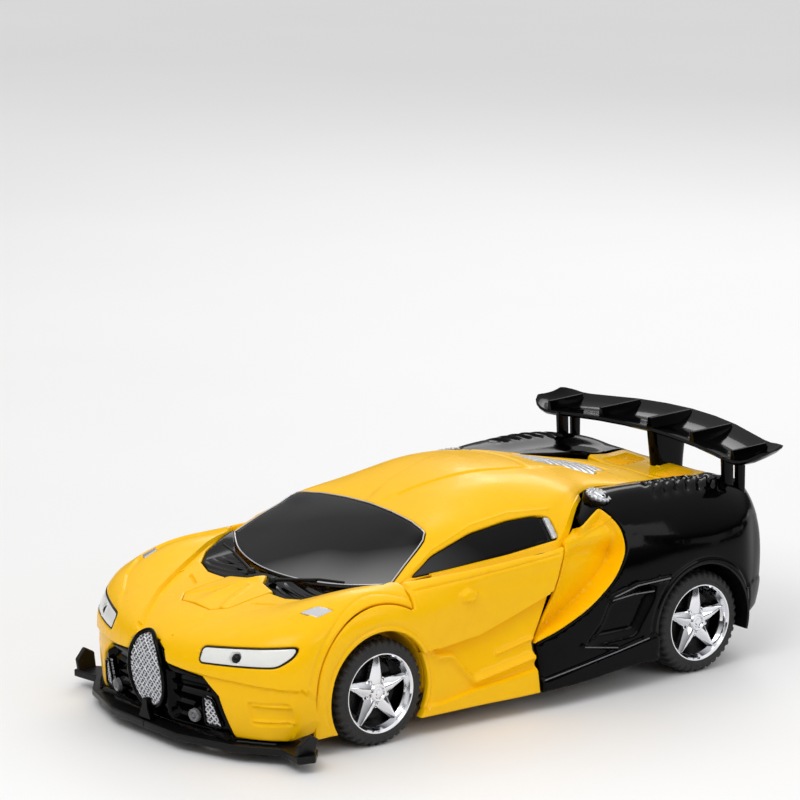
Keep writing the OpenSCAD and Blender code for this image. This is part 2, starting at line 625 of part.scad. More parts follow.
module waist_inlay() {
    color(yellow) union() {
        left_right() translate([0, 0, 4]) linear_extrude(4.9) polygon([[8.8, -29.6], [20.6, -40],
            [22.3, -35.2],
            [10.2, -23.6]]);
        translate([0, 0, 3.4]) linear_extrude(5.2) polygon([[-4.6, -21.6], [4.6, -21.6], [5.4, -12],
            [3, -9.6],
            [-3, -9.6], [-5.4, -12]]);
    }
}
module thigh_inlays() {
    slope = atan(3.5 / 18);
    color(yellow) left_right() translate([0, -28, 8.96]) rotate([slope, 0, 0]) for (i = [0 : 4])
        block(max(11, 18.6 - 2.9 * i), 21.4, 4 + i * 2.5, 5.7 + i * 2.5, -2, 0);
}
module lift_gear() {
    color("white") difference() {
        gear_x(lift_teeth, -3.3, 3.3, lift_y, lift_z, lift_pinion_angle, 2 + running, -3, 13);
        block(-4, 4, lift_y - 30, lift_y - 10, lift_z - 30, lift_z + 30);
    }
}
module sync_links() {
    mid = (link_start + link_end) / 2 + [-3, 3.5];
    color(black) left_right() side_slab(29.3, 31.6) difference() {
        union() for (p = [link_start, link_end]) hull() {
            translate(p) circle(r = 3.6);
            translate(mid) circle(r = 5);
        }
        translate(link_start) circle(r = 1.5 + running);
        translate(link_end) circle(r = 1.9);
    }
}

// ---------- cabin ----------
module cabin_glass_mask(shrink) {
    translate([0, 0, 40]) linear_extrude(40) offset(delta = -0.6 - shrink) polygon([[0, -57.6],
        [14, -56.2], [28, -51.8],
        [39.4, -45], [32.6, -25.4], [24, -23], [0, -21.6], [-24, -23], [-32.6, -25.4], [-39.4, -45],
            [-28, -51.8],
        [-14, -56.2]]);
    left_right() side_slab(30, 50) offset(delta = -shrink) polygon([[-38, 47.6], [-27, 51.4],
        [-14, 54.6], [2, 56.4],
        [14, 56.4], [18.6, 55.4], [18.6, 50.2], [0, 48.9], [-20, 48.2]]);
}
module cabin_shell() {
    color(yellow) union() {
        difference() {
            skin(cabin_surface, wall);
            cabin_glass_mask(0);
            translate([0, 0, -0.6]) intersection() {
                translate([0, 0, 0.9]) skin(cabin_surface, 1.4);
                linear_extrude(90) roof_vent_plan();
            }
        }
        difference() {
            intersection() {
                union() {
                    skin(body_surface, wall);
                    left_right() stiffeners(9.6, -84, 38.4, 7, 3);
                }
                translate([0, 0, 30]) linear_extrude(20) intersection() {
                    flap_plan(0);
                    translate([-20, -90]) square([40, 34.5]);
                }
            }
            intersection() {
                skin(cabin_surface, 1.4);
                cabin_glass_mask(0);
            }
        }
        block(-9, 9, -60, -57.9, 41.4, 43);
        // knuckle on the cabin hinge
        difference() {
            hull() {
                rod_x(-8, 8, cabin_hinge_y, cabin_hinge_z, 2.8);
                block(-8, 8, 70, 74, 54.4, 56);
            }
            rod_x(-9, 9, cabin_hinge_y, cabin_hinge_z, 1.5 + running);
        }
    }
}
module roof_vent_plan() {
    polygon([[-7, 40], [7, 40], [9, 44], [7, 50], [9, 56], [7, 63], [8, 70], [-8, 70], [-7, 63],
        [-9, 56], [-7, 50],
        [-9, 44]]);
}
module roof_vent() {
    color(silver) intersection() {
        translate([0, 0, 0.3]) skin(cabin_surface, 0.8);
        linear_extrude(90) offset(delta = -0.3) roof_vent_plan();
    }
}
module cabin_glass() {
    color("#101114") intersection() {
        skin(cabin_surface, 1.2);
        cabin_glass_mask(0.08);
    }
}
module cabin_bracket() {
    color(black) union() {
        left_right() {
            side_slab(26, 28.9) polygon([[24, 60], [25, 50], [link_end[0] - 3.4, link_end[1] - 2.6],
                [link_end[0] + 3.4, link_end[1] - 2.6], [38, 50], [38, 56.8], [34, 59.6]]);
            rod_x(28.8, 31.9, link_end[0], link_end[1], 1.5);
        }
        block(-28, 28, 26, 33, 58.6, 60);
    }
}

// ---------- front clip ----------
module front_clip() {
    color(yellow) union() {
        difference() {
            intersection() {
                union() {
                    skin(body_surface, wall);
                    left_right() {
                        translate([lever_x, lever_y, lever_z + lever_h + 0.3]) cylinder(r = 4, h = 11);
                        for (i = [0 : 4]) hull() {
                            block(34 + i * 2.6, 35.2 + i * 2.6, -96 + i * 2, -88 + i * 2, 8, 12);
                            block(34 + i * 2.6, 35.2 + i * 2.6, -95 + i * 2, -91 + i * 2, 24, 28);
                        }
                        block(20.2, 23.4, -102, -90, 8, 26);
                        rod_x(20.2, 23.4, clip_hinge_y, clip_hinge_z, 5.2);
                        block(34.6, 45, -95.5, -93.6, 12, 33);
                    }
                }
                union() {
                    translate([0, 0, -20]) linear_extrude(100) clip_plan();
                }
            }
            left_right() for (dy = [0, 0.7]) rod_x(33, 80, front_axle_y + dy, arch_z, arch_line_r + 0.2);
            left_right() block(33, 80, -80, -30, -5, 20.5);
            translate([0, 0, 34]) linear_extrude(60) flap_plan(gap);
            // the black front insert's opening, and the headlight recesses
            front_opening(0);
            rod_x(-26, 26, clip_hinge_y, clip_hinge_z, 2 - 0.01);
            left_right() translate([lever_x, lever_y, 20]) cylinder(r = 1.56, h = 20);
            headlight_pockets(0.3);
            block(-60, 60, -120, -40, -5, 6.6);
        }
        // rails that guide the head's back plate
        left_right() difference() {
            block(9, 12.8, -63, -58, 12, 39.4);
            block(8, 10.9, -61.9, -59.7, 11, 41);
        }
        block(9, 12.8, -63, -61.9, 12, 39.4);
        block(-12.8, -9, -63, -61.9, 12, 39.4);
    }
}
module headlight_pockets(grow) {
    left_right() rotate([90, 0, 0]) translate([0, 0, 82]) linear_extrude(30) offset(delta = grow)
        polygon([[20.5, 28], [45.5, 30.4], [48.4, 36.4], [21.5, 33.2]]);
}
module front_opening(shrink) {
    rotate([90, 0, 0]) translate([0, 0, 85]) linear_extrude(40) offset(delta = -shrink)
        polygon([[-34, 6], [34, 6], [30, 19], [24, 24], [10, 25.6], [7, 33], [0, 35.6], [-7, 33],
            [-10, 25.6], [-24, 24], [-30, 19]]);
}
module mesh_plans(grow) {
    rotate([90, 0, 0]) translate([0, 0, 104]) linear_extrude(8) offset(delta = grow) scale([1, 1.7])
        translate([0, 12.1]) circle(r = 6.6);
    left_right() rotate([90, 0, 0]) translate([0, 0, 97]) linear_extrude(8) offset(delta = grow)
        polygon([[24, 8.6], [31, 8.6], [27.6, 18.4], [24.4, 18.4]]);
}
module bumper_insert() {
    color(black) difference() {
        union() {
            intersection() {
                translate([0, 1.6, 0]) skin(body_surface, 1.6);
                front_opening(0.4);
            }
            for (z = [10, 14.6, 19]) left_right() hull() {
                block(10, 12, -103.4, -102.2, z, z + 1.2);
                block(21, 22, -102.6, -100.4, z, z + 1.2);
            }
        }
        block(-19.4, 19.4, -99.4, -80, 0, 40);
        mesh_plans(0.1);
    }
}
module grille_meshes() {
    color(silver) intersection() {
        translate([0, 0.4, 0]) skin(body_surface, 2);
        mesh_plans(0);
    }
}
module splitter() {
    color(black) translate([0, 0, 3.2]) linear_extrude(2.6) polygon([[-17, -108], [17, -108], [38, -101],
        [49, -92],
        [59, -93.5], [61, -88], [56, -84], [50, -82], [36, -84], [33, -97], [24, -101.4], [-24, -101.4],
            [-33, -97],
        [-36, -84], [-50, -82], [-56, -84], [-61, -88], [-59, -93.5], [-49, -92], [-38, -101]]);
}
module headlights() {
    color("white") intersection() {
        translate([0, 0.35, 0]) skin(body_surface, 1.3);
        headlight_pockets(0);
    }
}
module clip_hinge_pin() {
    color(silver) rod_x(-23.4, 23.4, clip_hinge_y, clip_hinge_z, 2);
}
head_drop = 26;   // the head stands this much higher on the robot
module head() {
    color(black) translate([0, -72, 41.8 - head_drop]) union() {
        hull() {
            translate([0, 0.5, 13]) sphere(r = 7.6, $fn = 28);
            translate([-5, -6.5, 6]) cube([10, 13, 9]);
            translate([-3.4, -8, 0.4]) cube([6.8, 9, 5]);
        }
        left_right() hull() {
            translate([6.6, -3.5, 4]) cube([1.8, 7, 10]);
            translate([6.2, -1.5, 14]) cube([1.8, 4, 5]);
        }
        hull() {
            translate([-1, -8.2, 12]) cube([2, 3, 3]);
            translate([-0.8, -3, 18]) cube([1.6, 5, 1.6]);
        }
        block(-8.2, 8.2, 10.4, 12, -6.4, 19);
        block(-3, 3, 5, 11, 3, 12);
        block(-10.6, 10.6, 10.4, 12, -6.4, 2);
    }
}

// ---------- arms: each is a front fender with its door and wheel, on a swinging lever ----------
module arm_lever(s) {
    color(black) translate([s * lever_x, lever_y, lever_z]) rotate(s * lever_lean) difference() {
        union() {
            for (y = [0, lever_len]) translate([0, y, 0]) cylinder(r = 3.6, h = lever_h);
            translate([-2.5, 0, 0]) cube([5, lever_len, lever_h]);
        }
        for (y = [0, lever_len]) translate([0, y, -1]) cylinder(r = 1.5 + running, h = lever_h + 2);
    }
}
module fender_door() {
    color(yellow) intersection() {
        union() {
            skin(body_surface, wall);
            for (i = [0 : 7]) hull() {
                block(44, 48, -28 + i * 4, -26.8 + i * 4, 7, 9);
                block(46.4, 48, -28 + i * 4, -26.8 + i * 4, 20, 22);
            }
            side_slab(46.6, 52) polygon([[-35, 3.2], [4, 3.2], [4, 7.4], [-35, 7.4]]);
            block(36, 50, -80, -77.6, 4.6, 19);
        }
        difference() {
            side_slab(33.5, 70) door_profile(gap / 2);
            rod_x(20, 80, front_axle_y, axle_z + 0.6, arch_r);
            block(30, 80, front_axle_y - arch_r, front_axle_y + arch_r, -10, axle_z);
            block(30, 43.5, -44, 60, 0, 80);
            block(30, 60, -60, 60, 47.6, 80);
        }
    }
}
module wheel_well(s) {
    color(yellow) mirror([s > 0 ? 0 : 1, 0, 0]) union() {
        difference() {
            union() {
                rod_x(33.8, 47.6, front_axle_y, axle_z + 0.6, 20);
                block(33.8, 36, -77.5, -35.5, 6, 20);
            }
            rod_x(35.4, 60, front_axle_y, axle_z + 0.6, 18.4);
            block(30, 60, -90, -20, -10, 6);
            block(36, 60, -90, -20, -10, 14);
        }
        block(lever_tip_x, 36, lever_tip_y - 4, lever_tip_y + 4, 30.8, 33.4);
        translate([lever_tip_x, lever_tip_y, 30.8]) cylinder(r = 4, h = 2.6);
        translate([lever_tip_x, lever_tip_y, 24.8]) cylinder(r = 1.5, h = 7);
        block(33.8, 45.6, -38.5, -35, 12, 33);
        rod_x(33.8, 36, front_axle_y, axle_z, 5);
        rod_x(36, track_half - 3, front_axle_y, axle_z, 1.5);
    }
}
module lever_screws() {
    color(silver) left_right() translate([lever_x, lever_y, 0]) union() {
        translate([0, 0, lever_z - 0.9]) cylinder(r = 2.8, h = 0.8);
        translate([0, 0, lever_z - 0.9]) cylinder(r = 1.5, h = 12);
    }
}
module case_screws() {
    color(silver) left_right() for (y = [44, 94]) translate([28.5, y, 3.7]) difference() {
        union() {
            cylinder(r = 2.1, h = 0.9);
            cylinder(r = 1.2, h = 8.4);
        }
        translate([-1.4, -0.3, -1]) cube([2.8, 0.6, 1.5]);
        translate([-0.3, -1.4, -1]) cube([0.6, 2.8, 1.5]);
    }
}

// ---------- what is drawn ----------
placed() base_chassis();
placed() base_deck();
placed() battery_pack();
placed() battery_cover();
placed() circuit_board();
placed() lift_motor();
placed() drive_motors();
placed() lift_pinion();
placed() motor_pinion(1);  // motor_pinion_left
placed() motor_pinion(-1);  // motor_pinion_right
placed() power_switch();
placed() quarter();  // quarter_left
placed() mirror([1, 0, 0]) quarter();  // quarter_right
placed() side_curve();  // side_curve_left
placed() mirror([1, 0, 0]) side_curve();  // side_curve_right
placed() rear_deck();
placed() tail_lights();
placed() spoiler();
placed() intake_caps();
placed() boots();
placed() foot_rollers();
placed() lift_hinge_pin();
placed() cabin_hinge_pin();
placed() rear_axle(1);  // rear_axle_left
placed() rear_axle(-1);  // rear_axle_right
placed() tyre(1, rear_axle_y);  // rear_tyre_left
placed() tyre(-1, rear_axle_y);  // rear_tyre_right
placed() rim(1, rear_axle_y, 1.5);  // rear_rim_left
placed() rim(-1, rear_axle_y, 1.5);  // rear_rim_right
placed() torso_frame();
placed() chest_plate();
placed() chest_inlay();
placed() waist_plate();
placed() waist_inlay();
placed() thigh_inlays();
placed() lift_gear();
placed() sync_links();
placed() cabin_shell();
placed() cabin_glass();
placed() cabin_bracket();
placed() roof_vent();
placed() front_clip();
placed() bumper_insert();
placed() grille_meshes();
placed() splitter();
placed() headlights();
placed() clip_hinge_pin();
placed() lever_screws();
placed() head();
placed() arm_lever(1);  // arm_lever_left
placed() arm_lever(-1);  // arm_lever_right
placed() fender_door();  // fender_door_left
placed() mirror([1, 0, 0]) fender_door();  // fender_door_right
placed() wheel_well(1);  // wheel_well_left
placed() wheel_well(-1);  // wheel_well_right
placed() tyre(1, front_axle_y);  // front_tyre_left
placed() tyre(-1, front_axle_y);  // front_tyre_right
placed() rim(1, front_axle_y, 1.5 + running);  // front_rim_left
placed() rim(-1, front_axle_y, 1.5 + running);  // front_rim_right
placed() case_screws();
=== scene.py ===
import json
import math
import bpy
import numpy as np
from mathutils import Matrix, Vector
from mathutils.geometry import delaunay_2d_cdt
from mathutils.kdtree import KDTree


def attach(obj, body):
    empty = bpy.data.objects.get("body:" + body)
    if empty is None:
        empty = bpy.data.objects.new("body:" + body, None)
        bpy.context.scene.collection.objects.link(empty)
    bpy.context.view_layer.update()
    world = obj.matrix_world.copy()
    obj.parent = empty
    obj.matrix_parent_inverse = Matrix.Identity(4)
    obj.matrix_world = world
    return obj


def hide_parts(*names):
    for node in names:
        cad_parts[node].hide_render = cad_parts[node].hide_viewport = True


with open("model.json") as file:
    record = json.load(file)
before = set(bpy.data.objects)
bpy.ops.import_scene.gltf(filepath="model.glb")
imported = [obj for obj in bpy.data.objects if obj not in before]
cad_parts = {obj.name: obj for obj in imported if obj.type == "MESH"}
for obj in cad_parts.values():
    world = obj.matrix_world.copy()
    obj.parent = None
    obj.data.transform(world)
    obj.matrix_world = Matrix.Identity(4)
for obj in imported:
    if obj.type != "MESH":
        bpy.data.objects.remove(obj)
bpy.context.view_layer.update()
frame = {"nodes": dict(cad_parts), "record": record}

CENTRE_Y = 2.5                    # the drawings below put Y = 0 this far in front of the frame's origin
AXLE_FRONT, AXLE_REAR, AXLE_Z = -56.5, 71.5, 16.5
TYRE_R, TYRE_W, TRACK = 16.5, 14.0, 51.0
WALL = 1.8

# ---------- materials ----------


class Shader:
    """A Principled material and short ways to add nodes to it."""

    def __init__(self, name, color, rough, metal=0.0, coat=0.0, coat_rough=0.05, ior=1.5):
        self.mat = bpy.data.materials.new(name)
        self.mat.use_nodes = True
        self.tree = self.mat.node_tree
        self.bsdf = self.tree.nodes["Principled BSDF"]
        self.coords = self.tree.nodes.new("ShaderNodeTexCoord").outputs["Object"]
        b = self.bsdf.inputs
        b["Base Color"].default_value = (*color, 1)
        b["Roughness"].default_value = rough
        b["Metallic"].default_value = metal
        b["Coat Weight"].default_value = coat
        b["Coat Roughness"].default_value = coat_rough
        b["IOR"].default_value = ior
        self.color, self.rough = color, rough

    def node(self, kind, **values):
        """A new node with its sockets and settings given by name."""
        n = self.tree.nodes.new(kind)
        for k, v in values.items():
            if k in n.inputs:
                n.inputs[k].default_value = v
            else:
                setattr(n, k, v)
        return n

    def link(self, a, b):
        self.tree.links.new(a, b)

    def noise(self, scale, detail=3.0, rough=0.6):
        """Noise over the piece's own coordinates."""
        n = self.node("ShaderNodeTexNoise", Scale=scale, Detail=detail, Roughness=rough)
        self.link(self.coords, n.inputs["Vector"])
        return n.outputs["Fac"]

    def ramp(self, fac, stops):
        """Colour read from a value by stops of (position, colour)."""
        n = self.node("ShaderNodeValToRGB")
        e = n.color_ramp.elements
        while len(e) < len(stops):
            e.new(0.5)
        for el, (pos, col) in zip(e, stops):
            el.position = pos
            el.color = (*col, 1)
        self.link(fac, n.inputs["Fac"])
        return n.outputs["Color"]

    def spread(self, fac, low, high, lo=0.3, hi=0.7):
        """The value's range lo to hi brought to low to high."""
        n = self.node("ShaderNodeMapRange")
        for k, v in (("From Min", lo), ("From Max", hi), ("To Min", low), ("To Max", high)):
            n.inputs[k].default_value = v
        self.link(fac, n.inputs["Value"])
        return n.outputs["Result"]

    def mix(self, fac, a, b):
        """Colour between a and b, which may be sockets or colours."""
        n = self.node("ShaderNodeMix", data_type="RGBA")
        for s, v in ((n.inputs[0], fac), (n.inputs[6], a), (n.inputs[7], b)):
            if hasattr(v, "is_linked") or isinstance(v, bpy.types.NodeSocket):
                self.link(v, s)
            else:
                s.default_value = v if isinstance(v, float) else (*v, 1)
        return n.outputs[2]

    def mottle_and_edge_highlight(self, amount, scale=220.0):
        """Slow colour drift of the moulded plastic, with paler convex edges as a painted highlight."""
        c = np.array(self.color)
        drift = self.ramp(self.noise(scale),
                          [(0.3, c * (1 - amount)), (0.7, np.minimum(c * (1 + amount), 1))])
        # sharp convex edges are mixed towards a paler colour: a painted highlight along the edges
        edge = self.node("ShaderNodeNewGeometry").outputs["Pointiness"]
        painted_edge_highlight = self.spread(edge, 0.0, 0.16, 0.54, 0.64)
        self.link(self.mix(painted_edge_highlight, drift, np.minimum(c * 1.25 + 0.004, 1)), self.bsdf.inputs["Base Color"])
        return self

    def grain(self, height, scale=1500.0, rough_range=0.06):
        """Fine mould texture in the relief and in the roughness."""
        n = self.noise(scale, 4.0)
        bump = self.node("ShaderNodeBump", Strength=1.0, Distance=height)
        self.link(n, bump.inputs["Height"])
        self.link(bump.outputs["Normal"], self.bsdf.inputs["Normal"])
        slow = self.noise(90.0, 2.0)
        self.link(self.spread(slow, max(self.rough - rough_range, 0.02), self.rough + rough_range),
                  self.bsdf.inputs["Roughness"])
        return self


def srgb(r, g, b):
    """Linear colour from 0 to 255 values."""
    return tuple((c / 255 / 12.92 if c <= 10 else ((c / 255 + 0.055) / 1.055) ** 2.4) for c in (r, g, b))


YELLOW = Shader("shell_yellow", srgb(255, 195, 0), 0.3, coat=0.1, coat_rough=0.05, ior=1.25).mottle_and_edge_highlight(
    0.02).grain(1.2e-5, 900)
INNER = Shader("inner_yellow", srgb(246, 184, 4), 0.42, coat=0.05, ior=1.25).mottle_and_edge_highlight(0.06).grain(4e-5, 1400)
GLOSS = Shader("gloss_black", srgb(2, 2, 3), 0.1, ior=1.2).mottle_and_edge_highlight(0.2).grain(1e-5, 800, 0.03)
SATIN = Shader("satin_black", srgb(11, 11, 12), 0.34, ior=1.3).mottle_and_edge_highlight(0.15).grain(5e-5, 1800)
SILVER = Shader("silver_paint", srgb(205, 206, 210), 0.3, metal=0.55, coat=0.3).mottle_and_edge_highlight(0.04).grain(
    2e-5, 2600)
CHROME = Shader("chrome", srgb(235, 236, 240), 0.09, metal=1.0).mottle_and_edge_highlight(0.04).grain(1e-5, 500, 0.03)
RUBBER = Shader("tyre_rubber", srgb(30, 30, 31), 0.62).mottle_and_edge_highlight(0.2).grain(9e-5, 2600)
ROLLER = Shader("roller_rubber", srgb(44, 44, 46), 0.7).mottle_and_edge_highlight(0.15).grain(9e-5, 2400)
LAMP = Shader("lamp_white", srgb(232, 232, 229), 0.25, coat=0.3).mottle_and_edge_highlight(0.02, 400).grain(2e-5, 2000)
RED = Shader("lamp_red", srgb(196, 18, 14), 0.14, coat=0.6).mottle_and_edge_highlight(0.12, 500).grain(5e-5, 2200)
BRASS = Shader("olive_gold", srgb(150, 128, 30), 0.24, metal=0.5).mottle_and_edge_highlight(0.1).grain(2e-5, 1500)
# mid grey that stands in for glints on black parts: a painted highlight
GLINT = Shader("painted_glint", srgb(104, 105, 108), 0.22, coat=0.3).mottle_and_edge_highlight(0.2, 900).grain(1e-5, 1500)
NYLON = Shader("gear_nylon", srgb(232, 228, 214), 0.42).mottle_and_edge_highlight(0.05).grain(4e-5, 2000)
STEEL = Shader("steel", srgb(190, 192, 196), 0.22, metal=1.0).mottle_and_edge_highlight(0.08, 600).grain(3e-5, 3000)
WRAP = Shader("battery_wrap", srgb(38, 82, 150), 0.3, coat=0.3).mottle_and_edge_highlight(0.12, 150).grain(4e-5, 1200)
BOARD = Shader("board_green", srgb(22, 92, 52), 0.35, coat=0.3).mottle_and_edge_highlight(0.3, 900).grain(6e-5, 1600)


def smoked(name, slope_by, start, stops):
    """Tinted pane whose tint fades from black to grey along a slope; the grey is a painted reflection."""
    s = Shader(name, srgb(16, 17, 19), 0.1, ior=1.22).grain(1e-5, 700, 0.02)
    slope = s.node("ShaderNodeVectorMath", operation="DOT_PRODUCT")
    slope.inputs[1].default_value = slope_by
    s.link(s.coords, slope.inputs[0])
    wobble = s.spread(s.noise(30.0, 1.0), start - 0.05, start + 0.05)
    total = s.node("ShaderNodeMath", operation="ADD")
    s.link(slope.outputs["Value"], total.inputs[0])
    s.link(wobble, total.inputs[1])
    s.link(s.ramp(total.outputs[0], stops), s.bsdf.inputs["Base Color"])
    return s


WIRE = Shader("wire_mesh", srgb(205, 206, 210), 0.32, metal=0.4, coat=0.2)
strands = []
for sign in (1.0, -1.0):
    across = WIRE.node("ShaderNodeVectorMath", operation="DOT_PRODUCT")
    across.inputs[1].default_value = (3600.0, 0.0, 3600.0 * sign)
    WIRE.link(WIRE.coords, across.inputs[0])
    sine = WIRE.node("ShaderNodeMath", operation="SINE")
    WIRE.link(across.outputs["Value"], sine.inputs[0])
    strands.append(sine.outputs[0])
highest = WIRE.node("ShaderNodeMath", operation="MAXIMUM")
for socket, strand in zip(highest.inputs, strands):
    WIRE.link(strand, socket)
relief = WIRE.node("ShaderNodeBump", Strength=1.0, Distance=1.5e-4)
WIRE.link(highest.outputs[0], relief.inputs["Height"])
WIRE.link(relief.outputs["Normal"], WIRE.bsdf.inputs["Normal"])
WIRE.link(WIRE.ramp(highest.outputs[0], [(0.0, srgb(70, 70, 74)), (0.75, srgb(222, 223, 228))]),
          WIRE.bsdf.inputs["Base Color"])
# the greys on the black panes are painted reflections; the dark is the panes' own tint
DARK, REFLECTED_GREY, REFLECTED_PALE = srgb(4, 4, 5), srgb(62, 63, 65), srgb(122, 123, 122)
SCREEN = smoked("windscreen", (8.0, 0.0, -30.0), 2.09,
                [(0.05, REFLECTED_GREY), (0.38, DARK), (0.68, DARK), (1.0, REFLECTED_PALE)])
SIDE_GLASS = smoked("side_glass", (0.0, 14.0, 12.0), 0.0,
                    [(0.0, REFLECTED_GREY), (0.4, DARK), (0.97, DARK), (1.0, REFLECTED_GREY)])

SLOT_SHADER = {"yellow_shell": YELLOW, "yellow_inner": INNER, "black_gloss": GLOSS, "black_satin": SATIN,
               "silver_paint": SILVER, "chrome_rim": CHROME, "tyre_rubber": RUBBER, "roller_rubber": ROLLER,
               "window_black": SIDE_GLASS, "lamp_white": LAMP, "lamp_red": RED, "gear_nylon": NYLON,
               "steel": STEEL, "battery_wrap": WRAP, "board_green": BOARD}

# ---------- meshes ----------


def build(name, verts, faces, body, shader, replaces=(), slot=None, smooth=38, bevel=0.0, inner=None,
          inner_faces=None):
    """A piece from vertices in the drawing's millimetres. The slot argument is not used."""
    me = bpy.data.meshes.new(name)
    pts = (np.asarray(verts, float) - (0, CENTRE_Y, 0)) * 0.001
    me.from_pydata(pts.tolist(), [], [list(map(int, f)) for f in faces])
    me.validate()
    obj = bpy.data.objects.new(name, me)
    bpy.context.scene.collection.objects.link(obj)
    me.materials.append(shader.mat)
    if inner is not None:
        me.materials.append(inner.mat)
        flags = np.zeros(len(me.polygons), np.int32)
        flags[inner_faces] = 1
        me.polygons.foreach_set("material_index", flags)
    me.polygons.foreach_set("use_smooth", np.ones(len(me.polygons), bool))
    if bevel:
        m = obj.modifiers.new("edges", "BEVEL")
        m.width, m.segments, m.limit_method, m.angle_limit = bevel * 0.001, 2, "ANGLE", math.radians(30)
        m.harden_normals = True
    else:
        me.set_sharp_from_angle(angle=math.radians(smooth))
    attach(obj, body)
    if replaces:
        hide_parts(*replaces)


def mirrored(mesh):
    """The mesh on the other side of the centre plane."""
    v, f = mesh
    return np.asarray(v) * (-1, 1, 1), [tuple(reversed(t)) for t in f]


def merged(*parts):
    """Several meshes as one."""
    verts, faces, n = [], [], 0
    for v, f in parts:
        verts.append(np.asarray(v, float))
        faces += [tuple(i + n for i in t) for t in f]
        n += len(v)
    return np.concatenate(verts), faces


def pair(mesh):
    """A mesh and its mirror image."""
    return merged(mesh, mirrored(mesh))


AXES = {"x": (1, 2, 0), "y": (0, 2, 1), "z": (0, 1, 2)}


def prism(poly, axis, lo, hi, taper=1.0):
    """Closed solid from an outline in the plane across an axis."""
    p = np.asarray(poly, float)
    area = np.sum(p[:, 0] * np.roll(p[:, 1], -1) - np.roll(p[:, 0], -1) * p[:, 1])
    if area < 0:
        p = p[::-1]
    a, b, c = AXES[axis]
    n = len(p)
    v = np.zeros((2 * n, 3))
    v[:n, a], v[:n, b], v[:n, c] = p[:, 0], p[:, 1], lo
    q = p.mean(0) + (p - p.mean(0)) * taper
    v[n:, a], v[n:, b], v[n:, c] = q[:, 0], q[:, 1], hi
    f = [tuple(range(n - 1, -1, -1)), tuple(range(n, 2 * n))]
    f += [(i, (i + 1) % n, n + (i + 1) % n, n + i) for i in range(n)]
    if axis == "y":
        f = [tuple(reversed(t)) for t in f]
    return v, f


def block(x0, x1, y0, y1, z0, z1):
    """Closed box between pairs of limits."""
    return prism([(x0, y0), (x1, y0), (x1, y1), (x0, y1)], "z", z0, z1)


def rings(sections, closed=True, caps=True):
    """Skin through a list of sections with the same number of points."""
    s = np.asarray(sections, float)
    m, n = s.shape[:2]
    f = []
    for i in range(m - 1):
        for j in range(n if closed else n - 1):
            k = (j + 1) % n
            f.append((i * n + j, i * n + k, (i + 1) * n + k, (i + 1) * n + j))
    if caps and closed:
        f += [tuple(range(n - 1, -1, -1)), tuple(range((m - 1) * n, m * n))]
    return s.reshape(-1, 3), f


def tube(path, r, n=10, closed=False):
    """Round bar along a path."""
    p = np.asarray(path, float)
    d = np.gradient(p, axis=0) if not closed else np.roll(p, -1, 0) - np.roll(p, 1, 0)
    d /= np.linalg.norm(d, axis=1)[:, None] + 1e-12
    ref = np.array([0.13, 0.21, 0.97]) if abs(d[:, 2]).mean() < 0.8 else np.array([0.97, 0.1, 0.2])
    a = np.cross(d, ref)
    a /= np.linalg.norm(a, axis=1)[:, None]
    b = np.cross(d, a)
    t = np.linspace(0, 2 * math.pi, n, endpoint=False)
    s = [p[i] + r * (np.outer(np.cos(t), a[i]) + np.outer(np.sin(t), b[i])) for i in range(len(p))]
    if closed:
        s.append(s[0])
    return rings(s, caps=not closed)


def lathe(profile, centre, n=64, caps=True, wave=None):
    """Profile of (radius, x) turned about an axis along X through centre."""
    p = np.asarray(profile, float)
    out = []
    for t in np.linspace(0, 2 * math.pi, n, endpoint=False):
        r = p[:, 0] + (wave(t, p) if wave else 0)
        around = [centre[0] + p[:, 1], centre[1] + r * math.cos(t), centre[2] + r * math.sin(t)]
        out.append(np.stack(around, 1))
    s = np.array(out)
    m, k = s.shape[:2]
    f = []
    for i in range(m):
        a, b = i * k, ((i + 1) % m) * k
        f += [(a + j, a + j + 1, b + j + 1, b + j) for j in range(k - 1)]
    v = s.reshape(-1, 3)
    if caps:
        f += [tuple(i * k for i in range(m)), tuple(i * k + k - 1 for i in range(m - 1, -1, -1))]
    return v, f


def turned(profile, n, wave=None):
    """Ring or knob turned about the X axis at the origin, from a profile that starts and ends inside it."""
    return lathe(profile, (0, 0, 0), n, caps=False, wave=wave)


# ---------- smooth lofts, the same ribs as the CAD model's ----------


def blend_weights(t):
    """Weights of four neighbouring points in a smooth curve."""
    return (0.5 * (-t + 2 * t * t - t ** 3), 0.5 * (2 - 5 * t * t + 3 * t ** 3),
            0.5 * (t + 4 * t * t - 3 * t ** 3), 0.5 * (-t * t + t ** 3))


